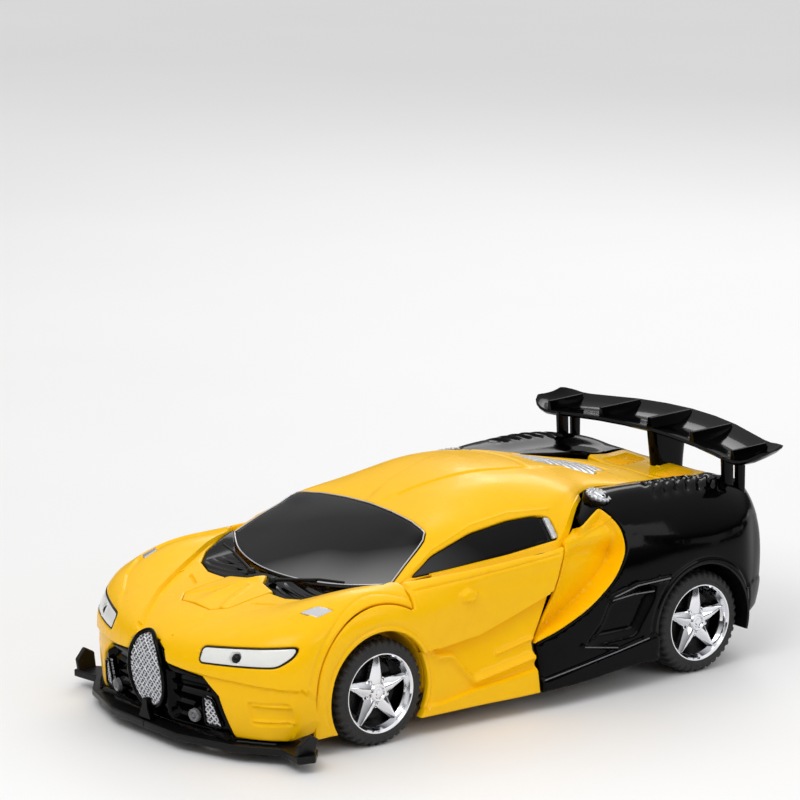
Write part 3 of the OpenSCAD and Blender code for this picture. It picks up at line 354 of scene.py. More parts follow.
class Loft:
    """Surface through mirrored ribs: u counts the ribs from the front, v the points from the centre line."""

    def __init__(self, ribs):
        r = np.array(ribs, float)
        self.grid = np.concatenate([r[:, :0:-1] * (-1, 1, 1), r], 1)
        self.nu, self.nv = r.shape[0] - 1, r.shape[1] - 1

    def at(self, uv):
        u = np.clip(uv[:, 0], 0, self.nu)
        v = np.clip(uv[:, 1] + self.nv, 0, 2 * self.nv)
        i = np.minimum(u.astype(int), self.nu - 1)
        j = np.minimum(v.astype(int), 2 * self.nv - 1)
        wu, wv = blend_weights(u - i), blend_weights(v - j)
        out = np.zeros((len(uv), 3))
        for a in range(4):
            row = np.clip(i + a - 1, 0, self.nu)
            for b in range(4):
                col = np.clip(j + b - 1, 0, 2 * self.nv)
                out += (wu[a] * wv[b])[:, None] * self.grid[row, col]
        return out

    def slopes(self, uv):
        e = 0.02
        du = (self.at(uv + (e, 0)) - self.at(uv - (e, 0))) / (2 * e)
        dv = (self.at(uv + (0, e)) - self.at(uv - (0, e))) / (2 * e)
        return du, dv

    def normal(self, uv):
        inner = np.stack([np.clip(uv[:, 0], 0.02, self.nu - 0.02),
                          np.clip(uv[:, 1], 0.02 - self.nv, self.nv - 0.02)], 1)
        du, dv = self.slopes(inner)
        n = np.cross(dv, du)
        return n / (np.linalg.norm(n, axis=1)[:, None] + 1e-12)

    def find(self, view, pts, window):
        """(u, v) below points drawn in a view, within a window of u and v."""
        axes = {"side": [1, 2], "plan": [0, 1], "front": [0, 2]}[view]
        u0, u1, v0, v1 = window
        us, vs = np.meshgrid(np.linspace(u0, u1, 90), np.linspace(v0, v1, 50), indexing="ij")
        seed = np.stack([us.ravel(), vs.ravel()], 1)
        flat = self.at(seed)[:, axes]
        p = np.asarray(pts, float)
        uv = np.array([seed[np.argmin(((flat - q) ** 2).sum(1))] for q in p])
        for _ in range(8):
            du, dv = self.slopes(uv)
            r = p - self.at(uv)[:, axes]
            a, b = du[:, axes], dv[:, axes]
            det = a[:, 0] * b[:, 1] - a[:, 1] * b[:, 0]
            det = np.where(abs(det) < 1e-3, 1e9, det)
            step = np.stack([(r[:, 0] * b[:, 1] - r[:, 1] * b[:, 0]) / det,
                             (a[:, 0] * r[:, 1] - a[:, 1] * r[:, 0]) / det], 1)
            uv = uv + np.clip(step, -0.3, 0.3)
            uv[:, 0] = np.clip(uv[:, 0], u0, u1)
            uv[:, 1] = np.clip(uv[:, 1], v0, v1)
        return uv


def spread(pts, gap):
    """Points along a polyline, no further apart than gap."""
    p = np.asarray(pts, float)
    out = []
    for a, b in zip(p[:-1], p[1:]):
        n = max(1, int(math.ceil(np.linalg.norm(b - a) / gap)))
        out += [a + (b - a) * k / n for k in range(n)]
    return np.array(out + [p[-1]])


def rounded(pts, r, n=5, closed=True):
    """Polyline with its corners rounded to about radius r."""
    p = np.asarray(pts, float)
    out = []
    m = len(p)
    for i in range(m):
        if not closed and i in (0, m - 1):
            out.append(p[i])
            continue
        a, b, c = p[i - 1], p[i], p[(i + 1) % m]
        la, lc = np.linalg.norm(a - b), np.linalg.norm(c - b)
        k = min(r, la * 0.45, lc * 0.45)
        s, e = b + (a - b) / la * k, b + (c - b) / lc * k
        for t in np.linspace(0, 1, n):
            out.append((1 - t) ** 2 * s + 2 * t * (1 - t) * b + t * t * e)
    return np.array(out)


def trace(surf, *parts, gap=0.8):
    """A line on a surface, from parts (view, window, points); a part in (u, v) has no window."""
    uv = []
    for part in parts:
        if part[0] == "uv":
            p = np.asarray(part[2], float)
            q = surf.at(p)
            for a, b, qa, qb in zip(p[:-1], p[1:], q[:-1], q[1:]):
                n = max(2, int(math.ceil(np.linalg.norm(qb - qa) / gap)))
                uv += [a + (b - a) * k / n for k in range(n)]
            uv.append(p[-1])
        else:
            uv += list(surf.find(part[0], spread(part[2], gap), part[1]))
    uv = np.array(uv)
    q = surf.at(uv)
    keep = [0]
    for i in range(1, len(uv)):
        if np.linalg.norm(q[i] - q[keep[-1]]) > 0.05:
            keep.append(i)
    if np.linalg.norm(q[keep[-1]] - q[0]) < 0.05 and len(keep) > 2:
        keep.pop()
    return uv[keep]


def looped(pts):
    """Points with the first one repeated at the end."""
    p = np.asarray(pts, float)
    return np.vstack([p, p[:1]])


def centred(half):
    """A half outline whose two ends are put on the centre line exactly."""
    half[0, 1] = half[-1, 1] = 0
    return half


def flipped(uv):
    """A line in (u, v) on the other side of the centre line, in the same turning direction."""
    return (uv * (1, -1))[::-1]


def whole(half):
    """Closed loop over both halves from a half that starts and ends on the centre line."""
    other = flipped(half)
    on_centre = abs(half[0, 1]) < 1e-6 and abs(half[-1, 1]) < 1e-6
    return np.concatenate([half, other[1:-1] if on_centre else other])


def inside(uv, loop):
    """True for points inside a closed loop in (u, v)."""
    x, y = uv[:, 0], uv[:, 1]
    hit = np.zeros(len(uv), bool)
    for (x0, y0), (x1, y1) in zip(loop, np.roll(loop, -1, 0)):
        if y0 == y1:
            continue
        cross = ((y0 > y) != (y1 > y)) & (x < (x1 - x0) * (y - y0) / (y1 - y0) + x0)
        hit ^= cross
    return hit


class Line:
    """A line on a surface that knows how far points are from it."""

    def __init__(self, surf, uv, closed=True):
        self.surf, self.uv, self.closed = surf, np.asarray(uv), closed
        self.p = surf.at(self.uv)
        self.tree = KDTree(len(self.p))
        for i, q in enumerate(self.p):
            self.tree.insert(q, i)
        self.tree.balance()

    def far(self, pts):
        """Distance of each point from the line."""
        idx = np.array([self.tree.find(q)[1] for q in pts])
        best = np.full(len(pts), 1e9)
        n = len(self.p)
        for off in (-1, 0):
            a, b = idx + off, idx + off + 1
            if self.closed:
                a, b = a % n, b % n
            else:
                a, b = np.clip(a, 0, n - 1), np.clip(b, 0, n - 1)
            pa, ab = self.p[a], self.p[b] - self.p[a]
            t = np.clip(((pts - pa) * ab).sum(1) / ((ab ** 2).sum(1) + 1e-12), 0, 1)
            best = np.minimum(best, np.linalg.norm(pts - pa - ab * t[:, None], axis=1))
        return best

    def side(self, uv, pts):
        """1 on the line's left in (u, v), -1 on its right."""
        idx = np.array([self.tree.find(q)[1] for q in pts])
        a = np.clip(idx, 0, len(self.uv) - 2)
        d = self.uv[a + 1] - self.uv[a]
        w = uv - self.uv[a]
        return np.sign(d[:, 0] * w[:, 1] - d[:, 1] * w[:, 0])

    def rows(self, offsets):
        """For each distance, the points that lie that far to one side of the line."""
        uv = self.uv
        if self.closed:
            t = np.roll(uv, -1, 0) - np.roll(uv, 1, 0)
        else:
            t = np.gradient(uv, axis=0)
        du, dv = self.surf.slopes(uv)
        e, f, g = (du * du).sum(1), (du * dv).sum(1), (dv * dv).sum(1)
        w = np.stack([-(f * t[:, 0] + g * t[:, 1]), e * t[:, 0] + f * t[:, 1]], 1)
        size = np.sqrt(e * w[:, 0] ** 2 + 2 * f * w[:, 0] * w[:, 1] + g * w[:, 1] ** 2) + 1e-12
        w /= size[:, None]
        return [uv + w * o for o in offsets]


def ease(t):
    """Smooth step from 0 to 1."""
    t = np.clip(t, 0, 1)
    return t * t * (3 - 2 * t)


class Relief:
    """Height added to a surface along a line: a "line" is a ridge or groove, a "pocket" a raised or sunk area
    inside a closed line, and a "step" fades away on the line's left."""

    def __init__(self, line, kind, width, height, fade=6.0):
        self.line, self.kind, self.width, self.height, self.fade = line, kind, width, height, fade

    def flipped(self):
        line = Line(self.line.surf, flipped(self.line.uv), self.line.closed)
        return Relief(line, self.kind, self.width, self.height, self.fade)

    def lift(self, uv, pts):
        d = self.line.far(pts)
        if self.kind == "line":
            return self.height * np.exp(-(d / self.width) ** 2)
        if self.kind == "pocket":
            return np.where(inside(uv, self.line.uv), self.height * ease(d / self.width), 0)
        side = self.line.side(uv, pts)
        fall = np.exp(-np.maximum(d - self.width, 0) / self.fade) * ease(d / self.width)
        return np.where(side > 0, self.height * fall, 0)

    def dense(self):
        w = self.width
        if self.kind == "pocket":
            return self.line.rows([-0.15 * w, 0, 0.3 * w, 0.6 * w, w, -0.6 * w, -w])
        return self.line.rows([-1.6 * w, -0.9 * w, -0.4 * w, 0, 0.4 * w, 0.9 * w, 1.6 * w])


def both(*reliefs):
    """Reliefs with their mirror images."""
    return [r for q in reliefs for r in (q, q.flipped())]


def within(uv, loops):
    """True for points inside the first loop and outside the others."""
    ok = inside(uv, loops[0])
    for loop in loops[1:]:
        ok &= ~inside(uv, loop)
    return ok


def steps(spans, first, gap, low, high, last):
    """Values that divide each span between ribs into pieces of about one gap, limited to a range."""
    out = []
    for k, d in enumerate(spans):
        n = max(1, int(round(d / gap)))
        out += list(k + first + np.arange(n) / n)
    return [t for t in out + [last] if low - 0.01 <= t <= high + 0.01]


def surface_grid(surf, loop, gap):
    """Regular (u, v) points over the range of a loop."""
    along = np.linalg.norm(np.diff(surf.grid, axis=0), axis=2).max(1)
    across = np.linalg.norm(np.diff(surf.grid, axis=1), axis=2).max(0)
    low, high = loop.min(0), loop.max(0)
    us = steps(along, 0, gap, low[0], high[0], surf.nu)
    vs = steps(across, -surf.nv, gap, low[1], high[1], surf.nv)
    gu, gv = np.meshgrid(us, vs, indexing="ij")
    return np.stack([gu.ravel(), gv.ravel()], 1)


def away_from(uv, others, surf, least):
    """The points that keep a distance from others on the surface."""
    if not len(others):
        return uv
    tree = KDTree(len(others))
    for i, c in enumerate(surf.at(others)):
        tree.insert(c, i)
    tree.balance()
    return uv[np.array([tree.find(c)[2] for c in surf.at(uv)]) > least]


def triangulated(loops, others):
    """Triangles over the area within the loops, through all the points."""
    segs, n = [], 0
    for loop in loops:
        m = len(loop)
        segs += [(n + i, n + (i + 1) % m) for i in range(m)]
        n += m
    out = delaunay_2d_cdt([Vector(p) for p in np.concatenate(loops + others)], segs, [], 0, 1e-5)
    uv = np.array([tuple(p) for p in out[0]])
    tri = np.array([f for f in out[2] if len(f) == 3])
    tri = tri[within(uv[tri].mean(1), loops)]
    used, inverse = np.unique(tri, return_inverse=True)
    uv, tri = uv[used], inverse.reshape(-1, 3)
    area = np.cross(uv[tri[:, 1]] - uv[tri[:, 0]], uv[tri[:, 2]] - uv[tri[:, 0]])
    return uv, np.where((area > 0)[:, None], tri[:, ::-1], tri)


def panel(surf, loops, reliefs=(), wall=WALL, edge=0.55, gap=1.15, base=0.0, extra_lift=None):
    """Closed sheet of a surface inside the first loop and outside the others, with rounded outer edges.
    Returns vertices, faces and the numbers of the faces on its inner side."""
    lines = [Line(surf, loop) for loop in loops]

    def from_edge(pts):
        """Distance of points from the nearest edge."""
        return np.min([line.far(pts) for line in lines], axis=0)

    def keep(uv, least):
        """The points that lie in the panel and keep a distance from its edges."""
        uv = uv[within(uv, loops)]
        return uv[from_edge(surf.at(uv)) >= least] if len(uv) else uv

    radii = [edge * (1 - math.cos(math.radians(a))) for a in (30, 60, 90)]
    beside = [keep(line.rows([sign * r])[0], 0.9 * r) for line in lines for r in radii for sign in (1, -1)]
    near = [keep(row, edge + 0.1) for relief in reliefs for row in relief.dense()]
    near = np.concatenate([np.zeros((0, 2))] + near)
    grid = away_from(keep(surface_grid(surf, loops[0], gap), edge + 0.3 * gap), near, surf, 0.35 * gap)
    uv, tri = triangulated(loops, beside + [near, grid])
    p, n = surf.at(uv), surf.normal(uv)
    lift = np.full(len(p), base, float)
    for relief in reliefs:
        lift += relief.lift(uv, p)
    if extra_lift is not None:
        lift += extra_lift(p, n, uv)
    t = np.clip(edge - from_edge(p), 0, edge)
    drop = edge - np.sqrt(np.maximum(edge ** 2 - t ** 2, 0))
    top = p + n * (lift - drop)[:, None]
    low = p + n * (np.minimum(lift, base) - wall)[:, None]
    m = len(uv)
    edges = dict.fromkeys(e for a, b, c in tri for e in ((a, b), (b, c), (c, a)))
    rim = [(b, a, a + m, b + m) for a, b in edges if (b, a) not in edges]
    faces = [tuple(t) for t in tri] + [tuple(t[::-1] + m) for t in tri] + rim
    return np.concatenate([top, low]), faces, np.arange(len(tri), 2 * len(tri))


def shell(name, made, body, shader, replaces=(), slot=None, extra=()):
    """A panel as a piece; extra solids join it."""
    v, f, low = made
    if extra:
        v, f = merged((v, f), *extra)
        start = len(made[1])
        low = np.concatenate([low, np.arange(start, len(f))])
    inner = INNER if shader is YELLOW else (SATIN if shader is GLOSS else None)
    build(name, v, f, body, shader, replaces, slot, inner=inner,
          inner_faces=low.astype(int) if inner else None)


def flip_made(made):
    """A panel on the other side of the centre plane."""
    return *mirrored(made[:2]), made[2]


BODY = Loft([[[0, -104.5, 6], [15, -103.5, 6], [30, -100, 6], [42, -94, 6], [48.5, -87, 6], [50, -83, 6],
              [50, -80, 6]],
             [[0, -106, 14], [15, -105, 14], [30, -101.5, 14], [42.5, -95, 14], [49, -88, 14],
              [50.5, -82, 11], [50, -77, 6]],
             [[0, -107, 22], [15, -106, 22], [30, -102, 22], [43, -95.5, 22], [49.8, -88, 22],
              [51, -80, 15], [50, -74, 6]],
             [[0, -107, 28], [14, -105.5, 29], [30, -101, 30], [43, -94.5, 30.5], [50, -86, 30],
              [51.5, -78, 20], [50, -70, 6]],
             [[0, -105, 33], [14, -102, 34.5], [30, -96, 36.5], [43, -89, 38], [50.3, -81, 36],
              [51.6, -74, 24], [50, -66, 6]],
             [[0, -96, 37.5], [14, -92, 38.5], [29, -87, 40.5], [42, -81, 42.5], [50.5, -75, 39],
              [51.7, -68, 26], [50, -61, 6]],
             [[0, -82, 40.5], [14, -80, 40.5], [28, -77, 42.5], [41, -72, 45.5], [50.5, -67, 41.5],
              [51.8, -62, 27], [50, -57, 6]],
             [[0, -68, 42.5], [14, -67, 42], [28, -65, 43.5], [41, -62, 47], [50.5, -59, 42.5],
              [52, -57, 27], [50, -54, 6]],
             [[0, -56, 44], [14, -54, 43.5], [28, -52, 44.2], [41.5, -51, 47.3], [50.3, -50, 42.5],
              [52, -49, 27], [50, -48, 6]],
             [[0, -42, 44], [14, -41, 44], [28, -40, 45], [43, -40, 47.5], [49.6, -40, 41.5],
              [51.5, -40, 26], [50.5, -40, 6]],
             [[0, -20, 44], [14, -20, 44], [30, -20, 46], [44.8, -20, 47.8], [48.3, -20, 41],
              [49.6, -20, 25], [51, -20, 6]],
             [[0, 0, 44], [14, 0, 44], [30, 0, 46], [45.2, 0, 48.3], [47.8, 0, 41], [49.2, 0, 25],
              [52, 0, 6]],
             [[0, 20, 48], [14, 20, 48], [30, 20, 50], [44.8, 20, 50], [48.3, 20, 42], [50, 20, 26],
              [52.5, 20, 6.5]],
             [[0, 40, 56], [14, 40, 56], [28, 40, 59], [41, 40, 59], [49.5, 40, 45], [51.8, 40, 27],
              [52, 40, 8]],
             [[0, 58, 57], [14, 58, 57], [28, 58, 59.4], [41, 58, 61], [51, 58, 47], [53, 58, 28],
              [52, 58, 8]],
             [[0, 75, 55.5], [14, 75, 55.5], [28, 75, 58.5], [41, 75, 61], [51.5, 75, 47], [53.3, 75, 28],
              [52, 74, 8]],
             [[0, 92, 54.5], [14, 92, 54.5], [27, 91, 56.2], [39.5, 90, 59], [50.3, 89, 47], [52.5, 88, 28],
              [51, 88, 14]],
             [[0, 102, 54.8], [14, 101.5, 55], [26, 100.5, 55.8], [37.5, 99.5, 55.6], [46.5, 97.5, 46],
              [50, 95, 28], [49, 94, 16]],
             [[0, 105.6, 50], [14, 105.6, 50], [25, 105, 50.5], [36, 104.2, 49.6], [44.6, 102, 41],
              [47.5, 99.5, 26], [47, 98, 17]],
             [[0, 105, 34], [14, 105, 34], [25, 104.6, 34], [36, 103.8, 33.5], [44, 101.6, 29],
              [46.5, 99.5, 22], [46, 98, 16.5]],
             [[0, 102, 17], [14, 102, 17], [25, 102, 16.5], [35, 101, 16.5], [42, 100, 16.5],
              [45, 99, 16.5], [46, 98, 16]]])
CABIN = Loft([[[0, -58, 43.5], [14, -56.5, 43.7], [28, -52, 44.6], [40.5, -44.5, 46.2], [42.2, -42.5, 46.4],
               [42.8, -41, 46.6]],
              [[0, -46, 49.5], [14, -45, 49.4], [27, -42, 49.4], [38.6, -37, 50.5], [41.4, -34, 48.8],
               [42.9, -32, 47.3]],
              [[0, -33, 55.7], [13, -32.5, 55.5], [25, -31, 55], [36, -30.5, 54], [40, -26, 51],
               [43, -23, 47.6]],
              [[0, -21, 60.5], [13, -21.3, 60.2], [24, -22.5, 59.3], [33.5, -24, 57.6], [39, -16, 53],
               [43, -12, 48]],
              [[0, -8, 65], [13, -8, 64.6], [24, -8, 63], [33, -8, 59.6], [38.6, -3, 54.5], [43, 0, 48.4]],
              [[0, 8, 68], [13, 8, 67.5], [24, 8, 65.8], [33.2, 8, 61], [38.4, 9, 55.5], [43, 10, 49]],
              [[0, 22, 68.3], [13, 22, 67.8], [24, 22, 66], [33.6, 22, 61.5], [38.8, 21, 56],
               [42.8, 19.5, 50]],
              [[0, 33, 67], [12, 33, 66.6], [22, 32.5, 65.2], [30, 32, 62.8], [34, 31, 60.6],
               [37, 30, 58.4]],
              [[0, 46, 64.4], [9, 46, 64.1], [16, 46, 63.3], [22, 45.5, 62], [25, 45, 60.8],
               [26.6, 44.5, 59.6]],
              [[0, 61, 60.6], [8, 61, 60.4], [14, 61, 60], [19, 61, 59.4], [22, 61, 58.8],
               [23.8, 61, 58.2]],
              [[0, 83.2, 55.4], [7, 83.2, 55.3], [12, 83.2, 55.1], [16, 83.2, 55], [18.5, 83.2, 54.8],
               [20.4, 83.2, 54.4]]])


def arc(y, z, r, a0, a1, n):
    """Points of an arc in the side view, between two angles in degrees."""
    return [(y + r * math.cos(math.radians(a)), z + r * math.sin(math.radians(a)))
            for a in np.linspace(a0, a1, n)]


def v_at(surf, y, v, u0, u1):
    """(u, v) on a constant-v line where Y has a value."""
    us = np.linspace(u0, u1, 800)
    p = surf.at(np.stack([us, np.full(800, v)], 1))
    return (us[np.argmin(abs(p[:, 1] - y))], v)


ARCH_Z = 20.0
TOP_FRONT, SIDE_FRONT, NOSE = (3, 9.5, 0, 4.2), (2, 12.6, 3.0, 6), (0, 6, 0, 5)

# ---------- front clip: nose, hood and front fenders ----------
COWL_FRONT = [(11.5, -68.9), (20, -69.2), (28, -66.2), (33, -60.5), (36.5, -54), (41, -46.5), (43, -43.8)]
cowl = ("plan", TOP_FRONT, [(0, -88.5), (7.2, -88.5), (11.5, -84.2)] + COWL_FRONT + [(46.5, -43.8)])
clip_half = centred(trace(BODY, cowl,
                          ("side", SIDE_FRONT,
                           [(-43.8, 44), (-43.8, 41)] + arc(AXLE_FRONT, ARCH_Z, 24.2, 58, 178, 60) + [
                               (-80, 14), (-80, 7)]),
                          ("front", (0, 3, 0, 5.2), [(48, 6.6), (42, 6.6), (34, 6.6)]),
                          ("front", NOSE,
                           [(34, 6.6), (30, 19), (24, 24), (10, 25.6), (8.2, 29.6), (4.6, 32),
                            (0.01, 32.5)])))
lamp_line = rounded([(22.8, 28.1), (46.6, 29.4), (49, 32.4), (49, 35.8), (22.4, 33.3)], 1.6, 4)
lamp_uv = trace(BODY, ("front", NOSE, looped(lamp_line)), gap=0.6)


def drawn(view, window, pts, closed=False, surf=BODY):
    """A line on a surface, drawn in a view."""
    return Line(surf, trace(surf, (view, window, looped(pts) if closed else pts)), closed)


clip_reliefs = both(
    # crease under the lamps, round to the wheel arch
    Relief(drawn("front", NOSE, [(10.5, 26), (18, 25.4), (26, 25), (36, 24.6), (46, 23.6), (50.4, 22.6)]),
           "step", 0.9, -0.9, 7),
    # two ridges in a sunk corner of the bumper
    Relief(drawn("front", NOSE, [(40.5, 17.6), (49, 17.2)]), "line", 0.55, 0.6),
    Relief(drawn("front", NOSE, [(40.5, 12.6), (49, 12.6)]), "line", 0.55, 0.6),
    Relief(drawn("front", NOSE, rounded([(39.5, 11), (49.2, 11.2), (49.4, 18.8), (38.6, 18.8)], 1.5, 4),
                 True), "pocket", 1.0, -0.7),
    # seat of the silver vent on the hood
    Relief(drawn("plan", TOP_FRONT,
                 rounded([(40.1, -79.7), (41.5, -73.4), (47, -70.5), (46.5, -76.7)], 0.7, 3), True),
           "pocket", 0.7, -0.7),
    # hood crease from the screen's corner to the nose
    Relief(drawn("plan", (2.6, 8.8, 0, 4.2),
                 [(40, -48.5), (36, -58), (29, -72), (20, -88), (12, -99), (9, -103)]), "step", 0.9, -1.3,
           9),
    # line along the fender's crest, down to the lamp
    Relief(drawn("plan", (1, 10, 0, 4.4),
                 [(41.5, -44.5), (43.6, -55.4), (45.6, -68), (43.6, -80), (38, -88), (31, -94)]), "step",
           0.7, -0.7, 6),
    # lip along the wheel arch's panel line
    Relief(drawn("side", SIDE_FRONT, arc(AXLE_FRONT, ARCH_Z, 26.4, 62, 172, 50)), "line", 0.5, -0.35),
    # slot beside the hood's centre strip
    Relief(drawn("plan", TOP_FRONT, rounded([(14, -79), (22, -75.5), (22.6, -73.5), (14.6, -77)], 0.6, 3),
                 True), "pocket", 0.6, -0.8),
)
shell("nose_shell", panel(BODY, [whole(clip_half), lamp_uv, flipped(lamp_uv)], clip_reliefs), "front_clip",
      YELLOW, ("front_clip",))

# ---------- doors with the arch round the front wheel ----------
door_uv = trace(BODY,
                ("side", SIDE_FRONT,
                 arc(AXLE_FRONT, ARCH_Z, 23.75, 178, 59, 60) + [(-43.2, 40.6), (-43.2, 45)]),
                ("uv", None,
                 [v_at(BODY, -43.2, 3.08, 8, 10), v_at(BODY, 0, 3.06, 10, 12),
                  v_at(BODY, 18.6, 3.1, 11, 12.5)]),
                ("side", (10, 13.5, 3.1, 6),
                 [(18.6, 48.6), (15.3, 41), (11.8, 34), (7.8, 27.5), (3.8, 21.5), (4.1, 6.4)]),
                ("uv", None, [v_at(BODY, 4.1, 6, 11, 12), v_at(BODY, -38, 6, 8, 11)]),
                ("side", SIDE_FRONT, arc(AXLE_FRONT, AXLE_Z + 0.6, 18.7, -36, 216, 90)),
                ("uv", None, [v_at(BODY, -74.6, 6, 0, 3), (0, 6)]))
DOOR = (8.8, 13, 3.2, 6)
door_reliefs = [
    # the door's big crease, and the strake and skirt below it
    Relief(drawn("side", DOOR, [(-34, 26.5), (-17, 27.5), (-3, 31.2), (11.4, 35.6)]), "step", 0.7, -2.6,
           10),
    Relief(drawn("side", DOOR,
                 rounded([(-33.5, 23.6), (-28, 22.8), (-20.5, 13.6), (-8, 15.4), (4, 17.2)], 1.5, 4,
                         False)), "line", 1.1, 1.7),
    Relief(drawn("side", DOOR, [(-10, 20.4), (4, 22.8)]), "line", 0.5, 0.8),
    Relief(drawn("side", DOOR, [(-34, 9.6), (-20, 11.6), (-8, 12.6), (4.2, 14)]), "step", 0.7, 1.5, 30),
    # line below the window and the raised foot of a mirror
    Relief(drawn("side", DOOR, [(-41, 45.2), (-20, 45.4), (0, 46.2), (16, 47.2)]), "line", 0.35, -0.4),
    Relief(drawn("side", DOOR,
                 rounded([(-25.5, 41.6), (-21, 43.2), (-16.5, 41), (-19, 37.6), (-24.5, 38)], 1.4, 4),
                 True), "pocket", 1.4, 1.5),
    # lip round the wheel
    Relief(drawn("side", SIDE_FRONT, arc(AXLE_FRONT, AXLE_Z + 0.6, 20.4, -20, 200, 70)), "line", 0.5,
           -0.35),
]
door = panel(BODY, [door_uv], door_reliefs)
shell("door_left", door, "arm_left", YELLOW, ("fender_door_left",))
shell("door_right", flip_made(door), "arm_right", YELLOW, ("fender_door_right",))

# ---------- silver vents and the lamps on the nose ----------
vent_pts = rounded([(40.4, -79.2), (41.8, -73.6), (46.6, -70.9), (46.0, -76.6)], 0.7, 3)
vent_uv = trace(BODY, ("plan", TOP_FRONT, looped(vent_pts)), gap=0.6)
vent = panel(BODY, [vent_uv], wall=0.7, edge=0.25, gap=0.8, base=-0.35)
shell("hood_vents", vent, "front_clip", SILVER, extra=[mirrored(vent[:2])])


BULB, FOG = (34.6, 31.4), (20.4, 11.2)    # x and z of the bulb's hole and of the fog lamp
FOG_SEAT = 2.2                            # radius and height of the fog lamp's seat


def lamp_hole(p, n, uv):
    """The lamp's middle sinks to the hole of its bulb."""
    d = np.hypot(abs(p[:, 0]) - BULB[0], (p[:, 2] - BULB[1]) * 1.1)
    return -0.9 * (1 - ease((d - 1.5) / 0.5)) + 0.25 * np.exp(-((d - 2.1) / 0.35) ** 2)


lamp_line = rounded([(23.1, 28.4), (46.4, 29.7), (48.7, 32.6), (48.7, 35.4), (22.7, 32.9)], 1.4, 4)
lamp_loop = trace(BODY, ("front", NOSE, looped(lamp_line)), gap=0.6)
lamp = panel(BODY, [lamp_loop], wall=1.0, edge=0.35, gap=0.7, base=-0.2, extra_lift=lamp_hole)
shell("lamps", lamp, "front_clip", LAMP, ("headlights",), extra=[mirrored(lamp[:2])])
rim_paths = []
for side in (1, -1):
    q = lamp_loop if side > 0 else flipped(lamp_loop)
    rim_paths.append(BODY.at(q) + BODY.normal(q) * -0.3)
build("lamp_seals", *merged(*[tube(q, 0.24, 8, True) for q in rim_paths]), "front_clip", SATIN)
BULB_U = BODY.find("front", [BULB], NOSE)
bulb_c, bulb_n = BODY.at(BULB_U)[0], BODY.normal(BULB_U)[0]


def aimed(mesh, place, direction):
    """A mesh drawn about X moved so that X points along a direction."""
    m = Vector(direction).to_track_quat("X", "Z").to_matrix()
    v, f = mesh
    return np.asarray(v) @ np.array(m).T + place, f


bulb = aimed(turned([(0.01, 0.1), (0.6, 0.05), (1.05, -0.2), (1.25, -0.6), (1.5, -0.7), (1.5, -0.95),
                     (0.01, -0.95)], 28), bulb_c - bulb_n * 0.15, bulb_n)
build("lamp_bulbs", *pair(bulb), "front_clip", SATIN)

# ---------- black insert of the bumper, grille and meshes ----------
opening_pts = [(0, 32), (6.4, 30.4), (9.7, 25.3), (23.8, 23.7), (29.6, 18.8), (33.5, 6.6)]
opening = centred(trace(BODY, ("front", NOSE, opening_pts),
                        ("front", (0, 1, 0, 5), [(33.5, 6.6), (16, 6.5), (0.01, 6.5)])))


def insert_lift(p, n, uv):
    """Recess with three bars, a fog lamp seat and a raised middle for the grille."""
    x, z = abs(p[:, 0]), p[:, 2]
    sideways = ease((x - 8.6) / 1.6) * (1 - ease((x - 25.5) / 2))
    upwards = (ease((z - 7.4) / 1.2), 1 - ease((z - 22.2) / 1.4))
    deep = -2.6 * sideways * upwards[0] * upwards[1]
    bars = sum(1.5 * np.exp(-((z - h) / 0.55) ** 2) for h in (11.6, 15.4, 19.2))
    bars = bars * ease((x - 9.5) / 1.5) * (1 - ease((x - 24.6) / 1.0))
    fog = FOG_SEAT * (1 - ease((np.hypot(x - FOG[0], z - FOG[1]) - FOG_SEAT) / 0.6))
    return deep + bars * (1 - fog / FOG_SEAT) + fog


insert = panel(BODY, [whole(opening)], wall=1.4, edge=0.3, gap=0.75, base=-0.9, extra_lift=insert_lift)
foot = pair(prism([(0, 5.9), (33, 5.9), (31, 7.6), (0, 7.6)], "y", -100.8, -98.4))
shell("bumper_insert_face", insert, "front_clip", GLOSS, ("bumper_insert",), extra=[foot])
EGG_X, EGG_Z, EGG_C = 8.4, 11.3, 20.9      # half width, half height and centre height of the grille


def egg(scale, n=72, fat=0.16):
    """Front-view outline of the grille, narrower towards its top."""
    t = np.linspace(0, 2 * math.pi, n, endpoint=False)
    z = np.sin(t)
    return np.stack([EGG_X * scale * np.cos(t) * (1 - fat * z * 0.8), EGG_C + (EGG_Z * (z + 0.04) * scale)],
                    1)


def on_nose(pts, lift):
    """3-D points over the nose at front-view points, on either side of the centre line."""
    uv = BODY.find("front", np.stack([abs(pts[:, 0]), pts[:, 1]], 1), NOSE)
    uv[:, 1] *= np.where(pts[:, 0] < 0, -1, 1)
    return BODY.at(uv) + BODY.normal(uv) * lift, uv


egg_loop = on_nose(egg(1.0), 0)[1]


def woven(pitch, height):
    """Diamond wire mesh: two families of wires that pass over and under each other."""
    def lift(p, n, uv):
        a = (p[:, 0] + p[:, 2]) / pitch * math.pi
        b = (p[:, 0] - p[:, 2]) / pitch * math.pi
        return height * (np.maximum(abs(np.cos(a)), abs(np.cos(b))) ** 3 - 1) + height * 0.3 * np.cos(
            a) * np.cos(b)
    return lift


